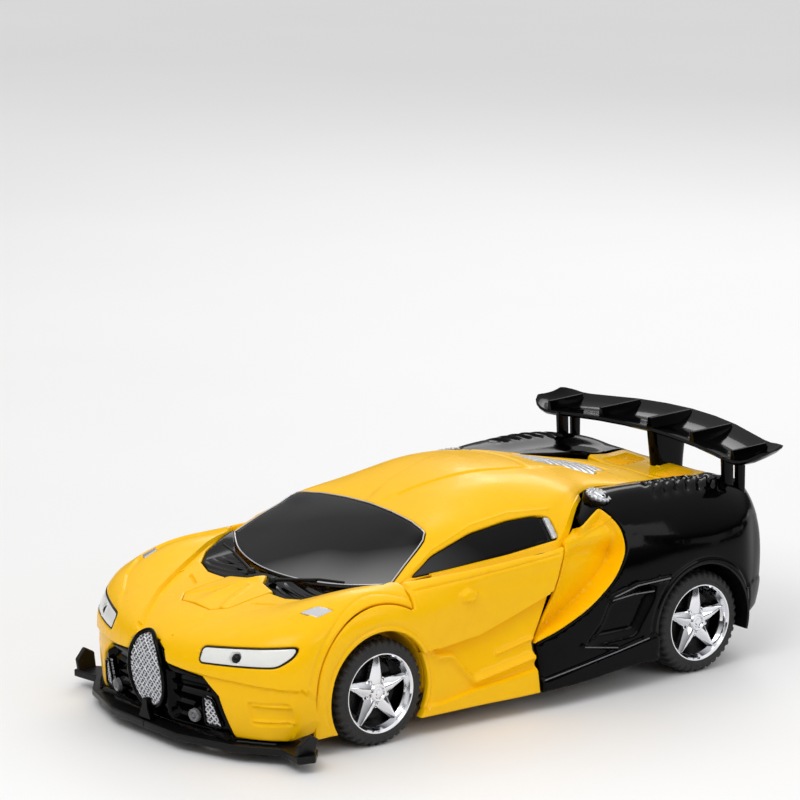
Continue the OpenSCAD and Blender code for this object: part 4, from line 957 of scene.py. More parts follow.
mesh_panel = panel(BODY, [egg_loop], wall=0.9, edge=0.15, gap=0.28, base=0.1, extra_lift=woven(1.25, 0.35))
tri_pts = rounded([(24.4, 9.0), (30.6, 9.0), (28, 17.6), (24.8, 18.2)], 0.8, 3)
tri_loop = on_nose(tri_pts, 0)[1]
tri_panel = panel(BODY, [tri_loop], wall=0.8, edge=0.15, gap=0.32, base=-0.4, extra_lift=woven(1.25, 0.3))
shell("grille_wire", mesh_panel, "front_clip", WIRE, ("grille_meshes",), "silver_paint",
      extra=[tri_panel[:2], mirrored(tri_panel[:2])])
frames = [tube(on_nose(egg(1.05), 0.15)[0], 0.7, 12, True)]
fog_c = on_nose(np.array([FOG]), -0.3)
fog_ring = aimed(turned([(0.7, 0.5), (1.2, 0.85), (1.75, 0.9), (2.1, 0.5), (2.1, -0.6), (0.7, -0.6)], 32),
                 fog_c[0][0], BODY.normal(fog_c[1])[0])
tri_frame = tube(on_nose(tri_pts, -0.25)[0], 0.4, 8, True)
frames += [tri_frame, mirrored(tri_frame)]
build("grille_rims", *merged(*frames), "front_clip", GLOSS)
fog_ball = aimed(turned([(0.01, 1.0), (0.45, 0.9), (0.8, 0.6), (0.9, 0.1), (0.01, 0.1)], 24), fog_c[0][0],
                 BODY.normal(fog_c[1])[0])
# the fog lamps' ring and ball are mid grey in place of black gloss: a painted glint
build("fog_lamps", *pair(merged(fog_ring, fog_ball)), "front_clip", GLINT, slot="silver_paint")
notch = prism(rounded([(-3.4, 6.2), (3.4, 6.2), (1.6, 9.4), (1.2, 12.6), (-1.2, 12.6), (-1.6, 9.4)], 0.8,
                      3), "y", -107.6, -105.6)
build("grille_foot", *notch, "front_clip", GLOSS, bevel=0.3)

# ---------- splitter ----------
blade = [(0, -108), (17, -108), (38, -101), (49, -92.5), (59, -93.8), (60.8, -88.4), (56, -84), (50, -82),
         (36, -84), (33, -97), (24, -101.4), (0, -101.4)]
half_blade = prism(blade, "z", 3.2, 5.6)
fence = ((-93.2, 4.6), (-86.8, 4.6), (-86.4, 10.2), (-89.6, 12), (-93.2, 8.8))
winglet = rings([[(x + 0.3 * (z - 5), y, z) for y, z in fence] for x in (56.4, 58.2)])
slats = [prism([(36 + 3.2 * i, -99.6 + 2.2 * i), (39.8 + 3.2 * i, -96.4 + 2.2 * i),
                (39.2 + 3.2 * i, -95.6 + 2.2 * i), (35.4 + 3.2 * i, -98.8 + 2.2 * i)], "z", 5.4, 6.4)
         for i in range(3)]
build("splitter_blade", *pair(merged(half_blade, winglet, *slats)), "front_clip", SATIN, ("splitter",),
      bevel=0.5)

# ---------- centre strip of the hood and the black cowl below the screen (both fixed to the cabin) ----------
flap_half = centred(trace(BODY,
                          ("plan", TOP_FRONT,
                           [(0, -88.25), (7.1, -88.25), (11.25, -84.1), (11.25, -67.6), (4, -66),
                            (0.01, -61.6)])))
strip_reliefs = both(Relief(drawn("plan", TOP_FRONT, [(2.0, -70), (6, -79), (9.8, -86)]), "line", 0.5, 0.5))


def spine_lift(p, n, uv):
    """Raised fold that runs down the middle and opens into a Y."""
    x, y = abs(p[:, 0]), p[:, 1]
    return 1.1 * np.clip(1 - x / (1.6 + 0.12 * np.maximum(-62 - y, 0)), 0, 1) * ease((-61 - y) / 6) * (
        1 - 0.7 * ease((-74 - y) / 12))


shell("hood_strip",
      panel(BODY, [whole(flap_half)], clip_reliefs + strip_reliefs, edge=0.3, extra_lift=spine_lift),
      "cabin", YELLOW)
cowl_half = centred(trace(BODY,
                          ("plan", TOP_FRONT,
                           [(0, -61.2), (4.2, -65.6), (11.2, -67.2), (11.6, -68.4), (20, -68.7),
                            (27.8, -65.7), (32.6, -60.2), (36.1, -53.8), (40.4, -46.4), (40.5, -44.6),
                            (28, -52.6), (14, -57.2), (0.01, -58.6)])))


def cowl_lift(p, n, uv):
    """Leaf grille: fine ribs across the cowl."""
    return 0.16 * np.cos(p[:, 1] * 1.9 + abs(p[:, 0]) * 0.5) * ease((abs(p[:, 0]) - 7) / 2) * (
        1 - ease((abs(p[:, 0]) - 24) / 4))


shell("cowl_panel",
      panel(BODY, [whole(cowl_half)], wall=1.2, edge=0.3, gap=0.6, base=-0.9, extra_lift=cowl_lift),
      "cabin", GLOSS)


def wiper(pivot, tip):
    """Wiper arm with its blade and pivot, bowed off the glass."""
    a, b = np.array(pivot, float), np.array(tip, float)
    t = np.linspace(0, 1, 14)[:, None]
    path = a + (b - a) * t
    path[:, 2] += np.sin(t[:, 0] * math.pi) * 0.5
    arm = tube(path[:9], 0.55, 8)
    d = (b - a) / np.linalg.norm(b - a)
    blade = tube(np.array([b - d * 20 + (0, 0, 0.4), b - d * 9 + (0, 0, 0.9), b + (0, 0, 0.3)]), 0.42, 8)
    knob = turned([(0.01, 1.1), (0.9, 1.0), (1.3, 0.5), (1.4, -0.6), (0.01, -0.6)], 24)
    return merged(arm, blade, aimed(knob, a, (0, 0, 1)))


build("wipers",
      *merged(wiper((-6.5, -62.6, 43.4), (-30, -56.2, 45.8)), wiper((5.5, -63.4, 43.2), (31, -55.2, 46.2))),
      "cabin", SATIN)

# ---------- cabin ----------
SCREEN_EDGE = [(40.3, -43.9), (37.6, -35.5), (34.8, -27.4), (32.8, -25.2), (24, -23.1), (12, -22),
               (0.01, -21.6)]
LOUVRE = [(0, 40.4), (6.8, 40.4), (9.6, 44), (8.8, 47), (13.4, 51.4), (16.4, 55.8), (13.8, 59), (10, 61.4),
          (9.4, 65.6), (6.4, 69.6), (0.01, 69.6)]
roof_patch = [(0, 40), (7, 40), (10, 44), (9.3, 46.8), (13.8, 51.1), (17, 55.8), (14.1, 59.4), (10.4, 61.7),
              (9.8, 65.8), (6.7, 70), (0.01, 70)]
ROOF, PANE, FRONT_GLASS = (3, 10, 0, 4), (0, 6.6, 2.6, 5), (0, 5, 0, 3.4)
window_pts = rounded([(-38.4, 47.5), (-28, 52.2), (-11, 56.3), (4, 57.9), (14, 58), (19.6, 57),
                      (20.4, 50.6), (0, 49), (-22, 47.9)], 1.8, 4)
window_uv = trace(CABIN, ("side", PANE, looped(window_pts)))
patch_half = centred(trace(CABIN, ("plan", ROOF, roof_patch)))
cabin_half = centred(trace(CABIN, ("plan", FRONT_GLASS, SCREEN_EDGE[::-1]),
                           ("uv", None, [(0, 3.06), (0, 5), (5, 5), (10, 5), (10, 0)])))


def on_cabin(view, window, pts):
    """A line on the cabin, drawn in a view."""
    return drawn(view, window, pts, surf=CABIN)


roof_edge = on_cabin("plan", (2, 8, 0, 4), [(4.5, -14), (9, 4), (13.6, 20), (14.4, 29)])
roof_seam = on_cabin("plan", (2, 8, -4, 4), [(-14.4, 29), (-8, 31.4), (0, 32), (8, 31.4), (14.4, 29)])
above_window = on_cabin("side", PANE, [(-36, 49.8), (-27, 53.6), (-10, 58), (5, 59.6), (20, 58.9)])
cabin_reliefs = both(Relief(roof_edge, "step", 0.7, -0.55, 14), Relief(above_window, "line", 0.4, 0.3))
cabin_reliefs = cabin_reliefs + [Relief(roof_seam, "line", 0.5, -0.6)]
sill_u = np.linspace(1.1, 7.5, 70)
sill_top = CABIN.at(np.stack([sill_u, np.full(70, 5.0)], 1))
sill_depth = 1.5 + 1.9 * ease((sill_u - 5.8) / 0.5) - 2.2 * ease((sill_u - 6.7) / 0.5)
sill = rings([[p + (-1.1, 0, 0.2), p + (0.05, 0, 0.2), p + (0.9, 0, -depth), p + (-0.9, 0, -depth)]
              for p, depth in zip(sill_top, sill_depth)])
HINGE, KNUCKLE_R = (0, 76, 50.25), 2.8
knuckle = lathe([(KNUCKLE_R, -8), (KNUCKLE_R, 8)], HINGE, 40)
web = prism([(70.2, 54.6), (73.9, 49.0), (78.4, 51.4), (74, 56), (70.2, 55.8)], "x", -7.9, 7.9)
cabin_ribs = [block(x - 0.5, x + 0.5, 30, 60, 58.2 - abs(x) * 0.1, 60) for x in (-15, -5, 5, 15)]
cabin_panel = panel(CABIN, [whole(cabin_half), window_uv, flipped(window_uv), whole(patch_half)],
                    cabin_reliefs, wall=WALL - 0.4, gap=1.3)
shell("cabin_skin", (*merged(cabin_panel[:2], pair(sill)), cabin_panel[2]), "cabin", YELLOW,
      ("cabin_shell",), extra=[knuckle, web] + cabin_ribs)
glass_half = centred(trace(CABIN,
                           ("plan", FRONT_GLASS,
                            [(x - 0.35 if x > 1 else x, y - 0.35) for x, y in SCREEN_EDGE[::-1]]),
                           ("uv", None, [(0.02, 2.98), (0.02, 1.5), (0.02, 0)])))
shell("windscreen_pane", panel(CABIN, [whole(glass_half)], wall=1.1, edge=0.3, gap=1.6, base=-0.15),
      "cabin", SCREEN, slot="window_black")
screen_edge = CABIN.at(whole(glass_half)) + CABIN.normal(whole(glass_half)) * 0.02
build("screen_trim", *tube(screen_edge, 0.22, 6, True), "cabin", SILVER)
pane_pts = rounded([(-37.4, 47.9), (-28, 51.9), (-11, 55.9), (4, 57.5), (14, 57.6), (15.6, 57.3),
                    (16.2, 50.6), (0, 49.4), (-22, 48.3)], 1.4, 4)
strip_pts = rounded([(17.2, 57.1), (19.2, 56.7), (19.9, 51.1), (17.8, 50.9)], 0.5, 3)
pane_uv = trace(CABIN, ("side", PANE, looped(pane_pts)))
strip_uv = trace(CABIN, ("side", PANE, looped(strip_pts)))
pane = panel(CABIN, [pane_uv], wall=1.0, edge=0.3, gap=1.4, base=-0.45)
shell("side_panes", pane, "cabin", SIDE_GLASS, ("cabin_glass",), extra=[mirrored(pane[:2])])
strip = panel(CABIN, [strip_uv], wall=0.9, edge=0.25, gap=0.9, base=-0.3)
shell("quarter_strips", strip, "cabin", SILVER, extra=[mirrored(strip[:2])])
backing = panel(CABIN, [window_uv], wall=0.5, edge=0.1, gap=2.0, base=-1.4)
shell("window_backing", backing, "cabin", SATIN, extra=[mirrored(backing[:2])])


def striped(p, n, uv):
    """Louvres across the silver cover."""
    return -0.35 * (np.cos(p[:, 1] * 2.2 + abs(p[:, 0]) * 0.9) > 0.35) - 0.3 * (abs(abs(p[:, 0]) - 3) < 0.4)


vent_half = centred(trace(CABIN, ("plan", ROOF, LOUVRE)))
shell("roof_louvres",
      panel(CABIN, [whole(vent_half)], wall=0.9, edge=0.25, gap=0.55, base=-0.3, extra_lift=striped),
      "cabin", SILVER, ("roof_vent",))

# ---------- yellow side scoops ----------
RIM = [(28.2, 60.4), (36, 59), (41.5, 52), (41.5, 45), (36, 36.5), (26, 28.5), (14, 23.5), (4.8, 21.2)]
BACK_SIDE = (11, 15.4, 3.0, 6)
rim_pts = rounded(RIM, 9, 7, closed=False)
scoop_uv = trace(BODY, ("side", BACK_SIDE, rim_pts - (0.25, 0)),
                 ("side", BACK_SIDE, [(8.4, 27.2), (12.5, 34), (16, 41), (19.4, 49.4)]),
                 ("plan", (11.8, 14, 1.6, 3.3), [(43.3, 20), (41.1, 24), (39.2, 27)]))
rim_line = drawn("side", BACK_SIDE, rim_pts)
door_edge = drawn("side", BACK_SIDE, [(4.6, 22), (8.4, 27.5), (12.5, 34), (16, 41), (19.4, 49.4)])


def scoop_lift(p, n, uv):
    """Air scoop: falls steeply from the rim and comes back up to the door."""
    a, b = rim_line.far(p), door_edge.far(p)
    top = ease((51 - p[:, 2]) / 6)
    hollow = -7.6 * ease((a - 0.7) / 2.0) * (b / (a + b + 0.01)) ** 0.8
    return hollow * (0.3 + 0.7 * top) + 0.35 * np.exp(-((a - 0.7) / 0.45) ** 2)


scoop_reliefs = [
    Relief(drawn("side", BACK_SIDE, [(20.2, 49.8), (28, 51.8), (38.4, 54.6)]), "line", 0.5, 0.5),
    Relief(drawn("side", BACK_SIDE, rim_pts - (1.2, 0.6)), "line", 0.5, 0.25),
]
scoop = panel(BODY, [scoop_uv], scoop_reliefs, gap=0.9, extra_lift=scoop_lift)
shell("scoop_left", scoop, "base", YELLOW, ("side_curve_left",))
shell("scoop_right", flip_made(scoop), "base", YELLOW, ("side_curve_right",))

# ---------- black rear quarters ----------
DECK = [(22.3, 86.2), (20.4, 101.8), (0.01, 101.8)]
quarter_half = trace(BODY,
                     ("plan", (12.2, 18, 0, 3.4),
                      [(38.8, 28.6), (37.6, 30.6), (27.3, 44.9), (24.8, 61.2), (23.4, 72),
                       (23.4, 85.2)] + DECK),
                     ("uv", None,
                      [BODY.find("plan", [(0.01, 101.8)], (16, 17.6, 0, 0.1))[0], (18, 0), (20, 0), (20, 3),
                       (20, 6)]), ("uv", None, [(20, 6), (18, 6), v_at(BODY, 86.6, 6, 15, 17)]),
                     ("side", (13, 17.5, 3.2, 6), arc(AXLE_REAR, AXLE_Z + 0.5, 19.5, -14, 194, 90)),
                     ("uv", None, [v_at(BODY, 52.6, 6, 13, 15), v_at(BODY, 5.2, 6, 11, 12)]),
                     ("side", BACK_SIDE, [(5.2, 8), (5.0, 20.8)]),
                     ("side", BACK_SIDE, rim_pts[::-1] + (0.3, 0)))
QUARTER = (11, 17.5, 3.0, 6)
quarter_reliefs = [
    # slats ahead of the rear wheel
    Relief(drawn("side", QUARTER, [(33.5, 30.8), (44, 33.4), (57, 34)]), "line", 0.5, 0.9),
    Relief(drawn("side", QUARTER, [(33.5, 30.4), (42, 31.2), (50, 31)]), "line", 0.45, 0.9),
    Relief(drawn("side", QUARTER,
                 rounded([(33, 30.2), (44, 34.2), (53, 34.8), (51.5, 29), (44, 17), (22, 16.6), (30, 24)],
                         2.5, 4), True), "pocket", 3.0, -2.2),
    # skirt
    Relief(drawn("side", QUARTER, [(5.6, 9.8), (22, 12), (36, 14.2), (50.4, 16.6)]), "step", 0.9, 1.5, 30),
    Relief(drawn("side", QUARTER, [(22.5, 17), (36, 14.8)]), "line", 0.4, 0.4),
    # edge above the wheel
    Relief(drawn("side", (13, 17.5, 3.0, 6), arc(AXLE_REAR, AXLE_Z + 0.5, 21.2, 0, 180, 60)), "line", 0.5,
           -0.35),
    # shoulder line
    Relief(drawn("side", QUARTER, [(50, 49), (62, 46.5), (76, 45.5), (88, 47)]), "step", 3.0, -0.25, 9),
]


def slat_lift(p, n, uv):
    """Cooling slats on the shoulder, round the wing's foot."""
    x, y = abs(p[:, 0]), p[:, 1]
    zone = ease((x - 34) / 1.5) * (1 - ease((x - 43.5) / 1.5)) * ease((y - 56) / 3) * (
        1 - ease((y - 88) / 2))
    wave = np.cos((y + x * 0.9) * 1.35)
    return -1.0 * zone * (0.5 + 0.5 * np.clip(wave * 1.6, -1, 1))


def quarter_lift(p, n, uv):
    """The slats, and a sunk band across the tail for the lamps."""
    tail = (p[:, 1] > 96) & (p[:, 2] < 41) & (p[:, 2] > 34.6) & (abs(p[:, 0]) < 41)
    return slat_lift(p, n, uv) - 1.0 * tail


quarter = panel(BODY, [quarter_half], quarter_reliefs, gap=1.2, extra_lift=quarter_lift)
shell("rear_quarter_left", quarter, "base", GLOSS, ("quarter_left",))
shell("rear_quarter_right", flip_made(quarter), "base", GLOSS, ("quarter_right",))

# ---------- yellow rear deck ----------
DECK_TOP = (14.5, 18, 0, 2.4)
deck_half = centred(trace(BODY,
                          ("plan", DECK_TOP,
                           [(0, 85), (20.3, 85), (21.5, 86.6), (19.9, 101.4), (0.01, 101.4)])))
deck_reliefs = both(Relief(drawn("plan", DECK_TOP,
                                 rounded([(7, 87.5), (18, 87.5), (17, 99), (7, 99)], 1.5, 4), True),
                           "pocket", 1.2, -0.8))
deck_ribs = [prism([(88.6 + 2.6 * i, 53.2), (89.8 + 2.6 * i, 53.2), (89.4 + 2.6 * i, 54.6 + 0.04 * i)], "x",
                   8.5, 16.5) for i in range(4)]
shell("deck_skin", panel(BODY, [whole(deck_half)], deck_reliefs), "base", YELLOW, ("rear_deck",),
      extra=[pair(merged(*deck_ribs))])
# thin grey tubes along the slat and skirt edges: painted highlights for the glints on those sharp edges
glints = []
for line, lift in (([(34, 30.9), (44, 33.6), (56.4, 34.2)], 0.75),
                   ([(34, 30.2), (42, 31.1), (50, 31)], 0.75),
                   ([(5.8, 9.6), (22, 11.9), (36, 14.1), (47.8, 16.3)], 1.35),
                   ([(23, 17), (36, 14.8)], 0.3)):
    uv = trace(BODY, ("side", QUARTER, line), gap=1.5)
    glints.append(tube(BODY.at(uv) + BODY.normal(uv) * lift, 0.2, 8))
build("quarter_glints", *pair(merged(*glints)), "base", GLINT, slot="black_gloss")
turn = [math.radians(a) for a in np.linspace(-16, 196, 60)]
hoop = ((35, 18.9), (52.4, 18.9), (52.4, 19.7), (35, 19.7))
liner = rings([[(x, AXLE_REAR + r * math.cos(t), AXLE_Z + 0.5 + r * math.sin(t)) for x, r in hoop]
               for t in turn])
bulkhead = prism([(AXLE_REAR + 19.4 * math.cos(t), AXLE_Z + 0.5 + 19.4 * math.sin(t)) for t in turn], "x",
                 34.4, 35.2)
build("rear_arch_liners", *pair(merged(liner, bulkhead)), "base", SATIN)
fins_behind = [prism([(92, 5.2), (103.6, 9.6), (103.6, 14.2), (92, 12)], "x", x - 0.6, x + 0.6)
               for x in (-26, -13, 0, 13, 26)]
sill_behind = prism([(100, 12.4), (105.8, 13.4), (105.8, 15.4), (100, 15.4)], "x", -34, 34)
build("diffuser", *merged(*fins_behind, sill_behind), "base", GLOSS, bevel=0.3)
footing = rings([[(-4.8, 94.2, 52), (4.8, 94.2, 52), (4.8, 108.6, 50.6), (-4.8, 108.6, 50.6)],
                 [(-3.2, 95.4, 55), (3.2, 95.4, 55), (3.2, 107.2, 53), (-3.2, 107.2, 53)]])
build("wing_footing", *footing, "base", YELLOW, bevel=0.4)

# ---------- tail lamps ----------
lens_line = np.linspace(0, 1, 9)[:, None]
lens_path = np.array([(21.6, 105.2, 38.4)]) + lens_line * (16.8, -2.1, 0) + np.sin(lens_line * math.pi) * (
    0, 0.25, 0.3)
lens = tube(lens_path, 1.35, 16)
ribs_on_lens = [tube(lens_path[i] + np.array([(0, 0.9 * math.sin(t), 1.42 * math.cos(t))
                                              for t in np.linspace(0, math.pi, 7)]), 0.18, 6)
                for i in range(1, 8)]
build("tail_lenses", *pair(merged(lens, *ribs_on_lens)), "base", RED, ("tail_lights",))

# ---------- rear wing ----------
# a section of the wing: x, the y and z of its front edge, and scales for its depth and its upper side
WING = [(0, 93, 66.7, 1.0, 1.0), (12, 92.4, 66.6, 0.99, 1.0), (24, 91.2, 66.3, 0.96, 0.98),
        (36, 89.4, 65.7, 0.9, 0.96), (43, 88.3, 65.2, 0.87, 0.98), (46.6, 88.0, 65.1, 0.85, 1.0),
        (49.6, 88.2, 65.6, 0.82, 0.96), (52, 88.9, 66.5, 0.76, 0.8), (53.8, 90.0, 67.8, 0.66, 0.56),
        (54.8, 91.6, 69.0, 0.52, 0.3)]
WING_TOP = [(0, 0.2), (0.7, 0.9), (4.6, 1.0), (5.1, 0.75), (9, 0.95), (13, 1.7), (16.2, 2.9), (18.4, 4.2),
            (19.4, 4.6)]
WING_BOTTOM = [(20.1, 4.2), (19.4, 2.9), (16, 1.1), (11, 0), (5, -0.75), (1, -0.6)]


def wing_section(x, y, z, k, h):
    """Closed outline across the wing."""
    return [(x, y + a * k, z + b * (h if b > 0 else 1)) for a, b in WING_TOP + WING_BOTTOM]


half_wing = [wing_section(*s) for s in WING]
full_wing = [[(-x, y, z) for x, y, z in s] for s in half_wing[:0:-1]] + half_wing


def gusset(x, y, z, k, wide):
    """Fin between the wing's front edge and its lip."""
    low = [(y + 0.8, z + 0.4), (y + 6 * k, z + 0.4), (y + 13 * k, z + 1.2), (y + 18 * k, z + 3.0)]
    high = [(y + 0.5, z + 4.3), (y + 6 * k, z + 4.4), (y + 12.4 * k, z + 4.6), (y + 18.4 * k, z + 4.75)]
    corners = ((-1, wide, low), (-1, wide * 0.42, high), (1, wide * 0.42, high), (1, wide, low))
    ring = [[(x + s * w, a, b) for a, b in line] for s, w, line in corners]
    return rings(list(zip(*ring)))


def upright(x0, x1, foot, head):
    """Rounded pillar between an outline at its foot and one at its head, both as (y, z, half depth)."""
    out = []
    for k in (0, 0.08, 0.3, 0.6, 0.85, 1):
        y = foot[0] + (head[0] - foot[0]) * k
        z = foot[1] + (head[1] - foot[1]) * k
        d = foot[2] + (head[2] - foot[2]) * k
        flare = 1 + 0.22 * (1 - ease(k / 0.2)) + 0.15 * ease((k - 0.8) / 0.2)
        w, m = (x1 - x0) / 2 * flare, (x0 + x1) / 2
        t = np.linspace(0, 2 * math.pi, 20, endpoint=False)
        c, s = np.cos(t), np.sin(t)
        out.append(np.stack([m + w * np.sign(s) * abs(s) ** 0.5, y + d * np.sign(c) * abs(c) ** 0.6,
                             z + 0 * t], 1))
    return rings(out)


side_legs = merged(upright(39.6, 42.2, (91.4, 50.2, 1.9), (90.8, 66.2, 2.1)),
                   upright(39.6, 42.2, (96.6, 49.6, 1.5), (96.4, 66.6, 1.7)))
mid_leg = upright(-2.1, 2.1, (101.3, 51.6, 5.9), (101.2, 68.0, 8.0))
fins = merged(gusset(0, 93, 66.7, 1, 1.9), pair(gusset(22.5, 91.3, 66.3, 0.96, 1.4)),
              pair(gusset(45.4, 88.2, 64.9, 0.82, 1.2)))
build("wing_blade", *rings(full_wing), "base", GLOSS, ("spoiler",), smooth=32)
build("wing_fins", *fins, "base", GLOSS, bevel=0.25)
build("wing_pillars", *merged(pair(side_legs), mid_leg), "base", GLOSS, smooth=50)

# ---------- round filler caps ----------
CAP = np.array([37.4, 39.5, 59.4])
pitch, lean = math.radians(-6), math.radians(20)
CAP_AXIS = np.array([math.sin(lean), -math.sin(pitch) * math.cos(lean), math.cos(pitch) * math.cos(lean)])


def teeth(t, p):
    """Gear-like rim of the cap."""
    return 0.25 * np.clip(2 * math.cos(t * 16), -1, 1) * (p[:, 0] > 3.3) * (p[:, 1] > 0.2)


cap_body = aimed(turned([(0.01, 1.0), (1.2, 1.05), (1.9, 1.35), (2.2, 1.7), (2.5, 1.3), (2.9, 1.35),
                         (3.4, 1.85), (3.9, 1.6), (3.9, 0.6), (3.6, -1.2), (0.01, -1.2)], 144, wave=teeth),
                 CAP, CAP_AXIS)
cap_slot = prism([(-0.35, -1.7), (0.35, -1.7), (0.35, 1.7), (-0.35, 1.7)], "x", 0.9, 1.5)
cap_ring = aimed(turned([(4.1, 0.9), (4.45, 1.15), (4.75, 0.8), (4.6, -1.6), (4.1, -1.6)], 64), CAP,
                 CAP_AXIS)
cap_well = aimed(turned([(0.01, -0.9), (4.3, -0.9), (4.3, -1.8), (0.01, -1.8)], 48), CAP, CAP_AXIS)
build("cap_discs", *pair(merged(cap_body, aimed(cap_slot, CAP, CAP_AXIS))), "base", SILVER, ("intake_caps",))
build("cap_rings", *pair(merged(cap_ring, cap_well)), "base", GLOSS)

# ---------- wheels ----------
TREAD_BLOCKS = 40


def tread(t, p):
    """Blocks across the tread and the shoulders, staggered from side to side."""
    shift = np.where(p[:, 1] > 0, 0.5, 0.0)
    gap = np.cos((t * TREAD_BLOCKS / (2 * math.pi) + shift) * 2 * math.pi) > 0.45
    on_shoulder = (p[:, 0] > TYRE_R - 2.0) & (abs(p[:, 1]) > 1.9)
    return -0.55 * (gap & on_shoulder)


TYRE = [(12.0, -6.3), (12.4, -6.9), (13.1, -7.0), (13.6, -6.75), (14.6, -6.8), (15.3, -6.5), (15.9, -6.0),
        (16.3, -5.4), (16.45, -4.2), (16.5, -3.8), (15.8, -3.7), (15.8, -3.0), (16.5, -2.9), (16.5, -0.6),
        (15.8, -0.5)]
TYRE = TYRE + [(r, -x) for r, x in TYRE[::-1]]
BARREL = [(11.6, 6.2), (12.0, 6.75), (12.35, 6.8), (12.35, -6.6), (11.9, -6.9), (11.3, -6.3), (11.0, -3),
          (10.7, 4.4), (11.1, 5.0), (11.6, 6.2)]


def spoke(a, face):
    """Spoke with a raised keel, narrow at the waist and wide and pointed at the rim."""
    out = []
    # distance from the hub, half width, and heights of the keel and the flanks over the wheel's face
    for r, w, keel, flat in ((2.2, 2.7, 0.4, -0.5), (4.2, 2.5, 0.8, -0.4), (6.2, 2.05, 0.95, -0.3),
                             (8.4, 1.5, 0.8, -0.2), (10.2, 1.1, 0.55, -0.1), (11.5, 0.75, 0.3, 0.0)):
        ring = [(face - 2.2, -w), (face + flat - 0.5, -w), (face + keel - 0.15, -w * 0.3), (face + keel, 0),
                (face + keel - 0.15, w * 0.3), (face + flat - 0.5, w), (face - 2.2, w)]
        out.append([(x, r * math.cos(a) - q * math.sin(a), r * math.sin(a) + q * math.cos(a))
                    for x, q in ring])
    return rings(out)


HUB = [(0.01, 6.1), (0.9, 6.0), (1.1, 5.6), (1.6, 5.55), (2.0, 6.15), (2.5, 6.2), (3.0, 5.7), (3.4, 4.6),
       (3.5, -4.0), (1.6, -4.0)]


def wheel_face():
    """Rim, hub, five spokes and their lugs."""
    spokes = [spoke(math.radians(72 * i + 90), 5.2) for i in range(5)]
    lugs = []
    for i in range(5):
        t = math.radians(72 * i + 126)
        lug = lathe([(0.01, 5.2), (0.5, 5.1), (0.75, 4.7), (0.75, 3.2), (0.01, 3.2)],
                    (0, 3.9 * math.cos(t), 3.9 * math.sin(t)), 16, caps=False)
        lugs.append(lug)
    star = turned([(3.2, 4.4), (5.0, 4.2), (5.0, 3.4), (3.2, 3.4)], 60)
    return merged(turned(BARREL, 96), turned(HUB, 48), star, *spokes, *lugs)


FACE = wheel_face()
STUD = [(0.01, 1.75), (0.35, 1.75), (0.35, 1.5), (0.01, 1.5)]
studs = [lathe(STUD, (0, r * math.cos(t), r * math.sin(t)), 8, caps=False)
         for r, n in ((5.2, 12), (7.4, 18)) for t in np.linspace(0, 2 * math.pi, n, endpoint=False)]
BRAKE = merged(turned([(3.6, 1.6), (8.9, 1.6), (8.9, 0.9), (3.6, 0.9)], 64), *studs)
DISC = turned([(1.6, -2.2), (10.9, -2.6), (10.9, -3.3), (1.6, -3.3)], 48)
for end, axle_y in (("front", AXLE_FRONT), ("rear", AXLE_REAR)):
    for name, side in (("left", 1), ("right", -1)):
        hub_place = (side * (TRACK - TYRE_W / 2), axle_y, AXLE_Z)
        body = f"{end}_wheel_{name}"

        def put(mesh):
            """A wheel part at its hub."""
            v, f = mesh if side > 0 else mirrored(mesh)
            return np.asarray(v) + hub_place, f

        build(f"{end}_tread_{name}", *put(turned(TYRE, 240, wave=tread)), body, RUBBER,
              (f"{end}_tyre_{name}",), smooth=30)
        build(f"{end}_star_{name}", *put(FACE), body, CHROME, (f"{end}_rim_{name}",), smooth=34)
        build(f"{end}_disc_{name}", *put(merged(BRAKE, DISC)), body, SATIN, slot="chrome_rim")


# ---------- posts and ribs behind the nose and the doors ----------
posts = []
for side in (1, -1):
    post = aimed(turned([(1.7, 0), (4, 0), (4, 11), (1.7, 11)], 32), (side * 30, -75.3, 30.4), (0, 0, 1))
    posts.append(post)
lug = merged(prism([(-97.5, 8), (-90, 8), (-90, 22), (-94, 23), (-97.5, 18)], "x", 20.4, 23.2),
             lathe([(2.0, 20.4), (5.1, 20.4), (5.1, 23.2), (2.0, 23.2)], (0, -93.5, 12), 32, caps=False))
guide = block(9, 10.7, -63, -58.2, 12, 38.6)
build("nose_fittings", *merged(*posts, pair(lug), pair(guide)), "front_clip", INNER, slot="yellow_shell")
ribs = [rings([[(44.4, -27.8 + 4 * i, 7.4), (47.6, -27.8 + 4 * i, 7.4), (47.6, -26.8 + 4 * i, 7.4),
                (44.4, -26.8 + 4 * i, 7.4)],
               [(46.6, -27.6 + 4 * i, 21.4), (47.8, -27.6 + 4 * i, 21.4), (47.8, -27 + 4 * i, 21.4),
                (46.6, -27 + 4 * i, 21.4)]]) for i in range(8)]
build("door_ribs_left", *merged(*ribs), "arm_left", INNER, slot="yellow_shell")
build("door_ribs_right", *mirrored(merged(*ribs)), "arm_right", INNER, slot="yellow_shell")

# ---------- generic helmet ----------
HEAD = np.array([0, -72, 15.8])


def head_ring(z, width, front, rear, power=2.4, n=40):
    """Squarish oval cut through the helmet."""
    t = np.linspace(0, 2 * math.pi, n, endpoint=False)
    c, s = np.cos(t), np.sin(t)
    x = width * np.sign(c) * abs(c) ** (2 / power)
    y = np.where(s < 0, front, rear) * np.sign(s) * abs(s) ** (2 / power)
    return [(HEAD[0] + a, HEAD[1] + b, HEAD[2] + z) for a, b in zip(x, y)]


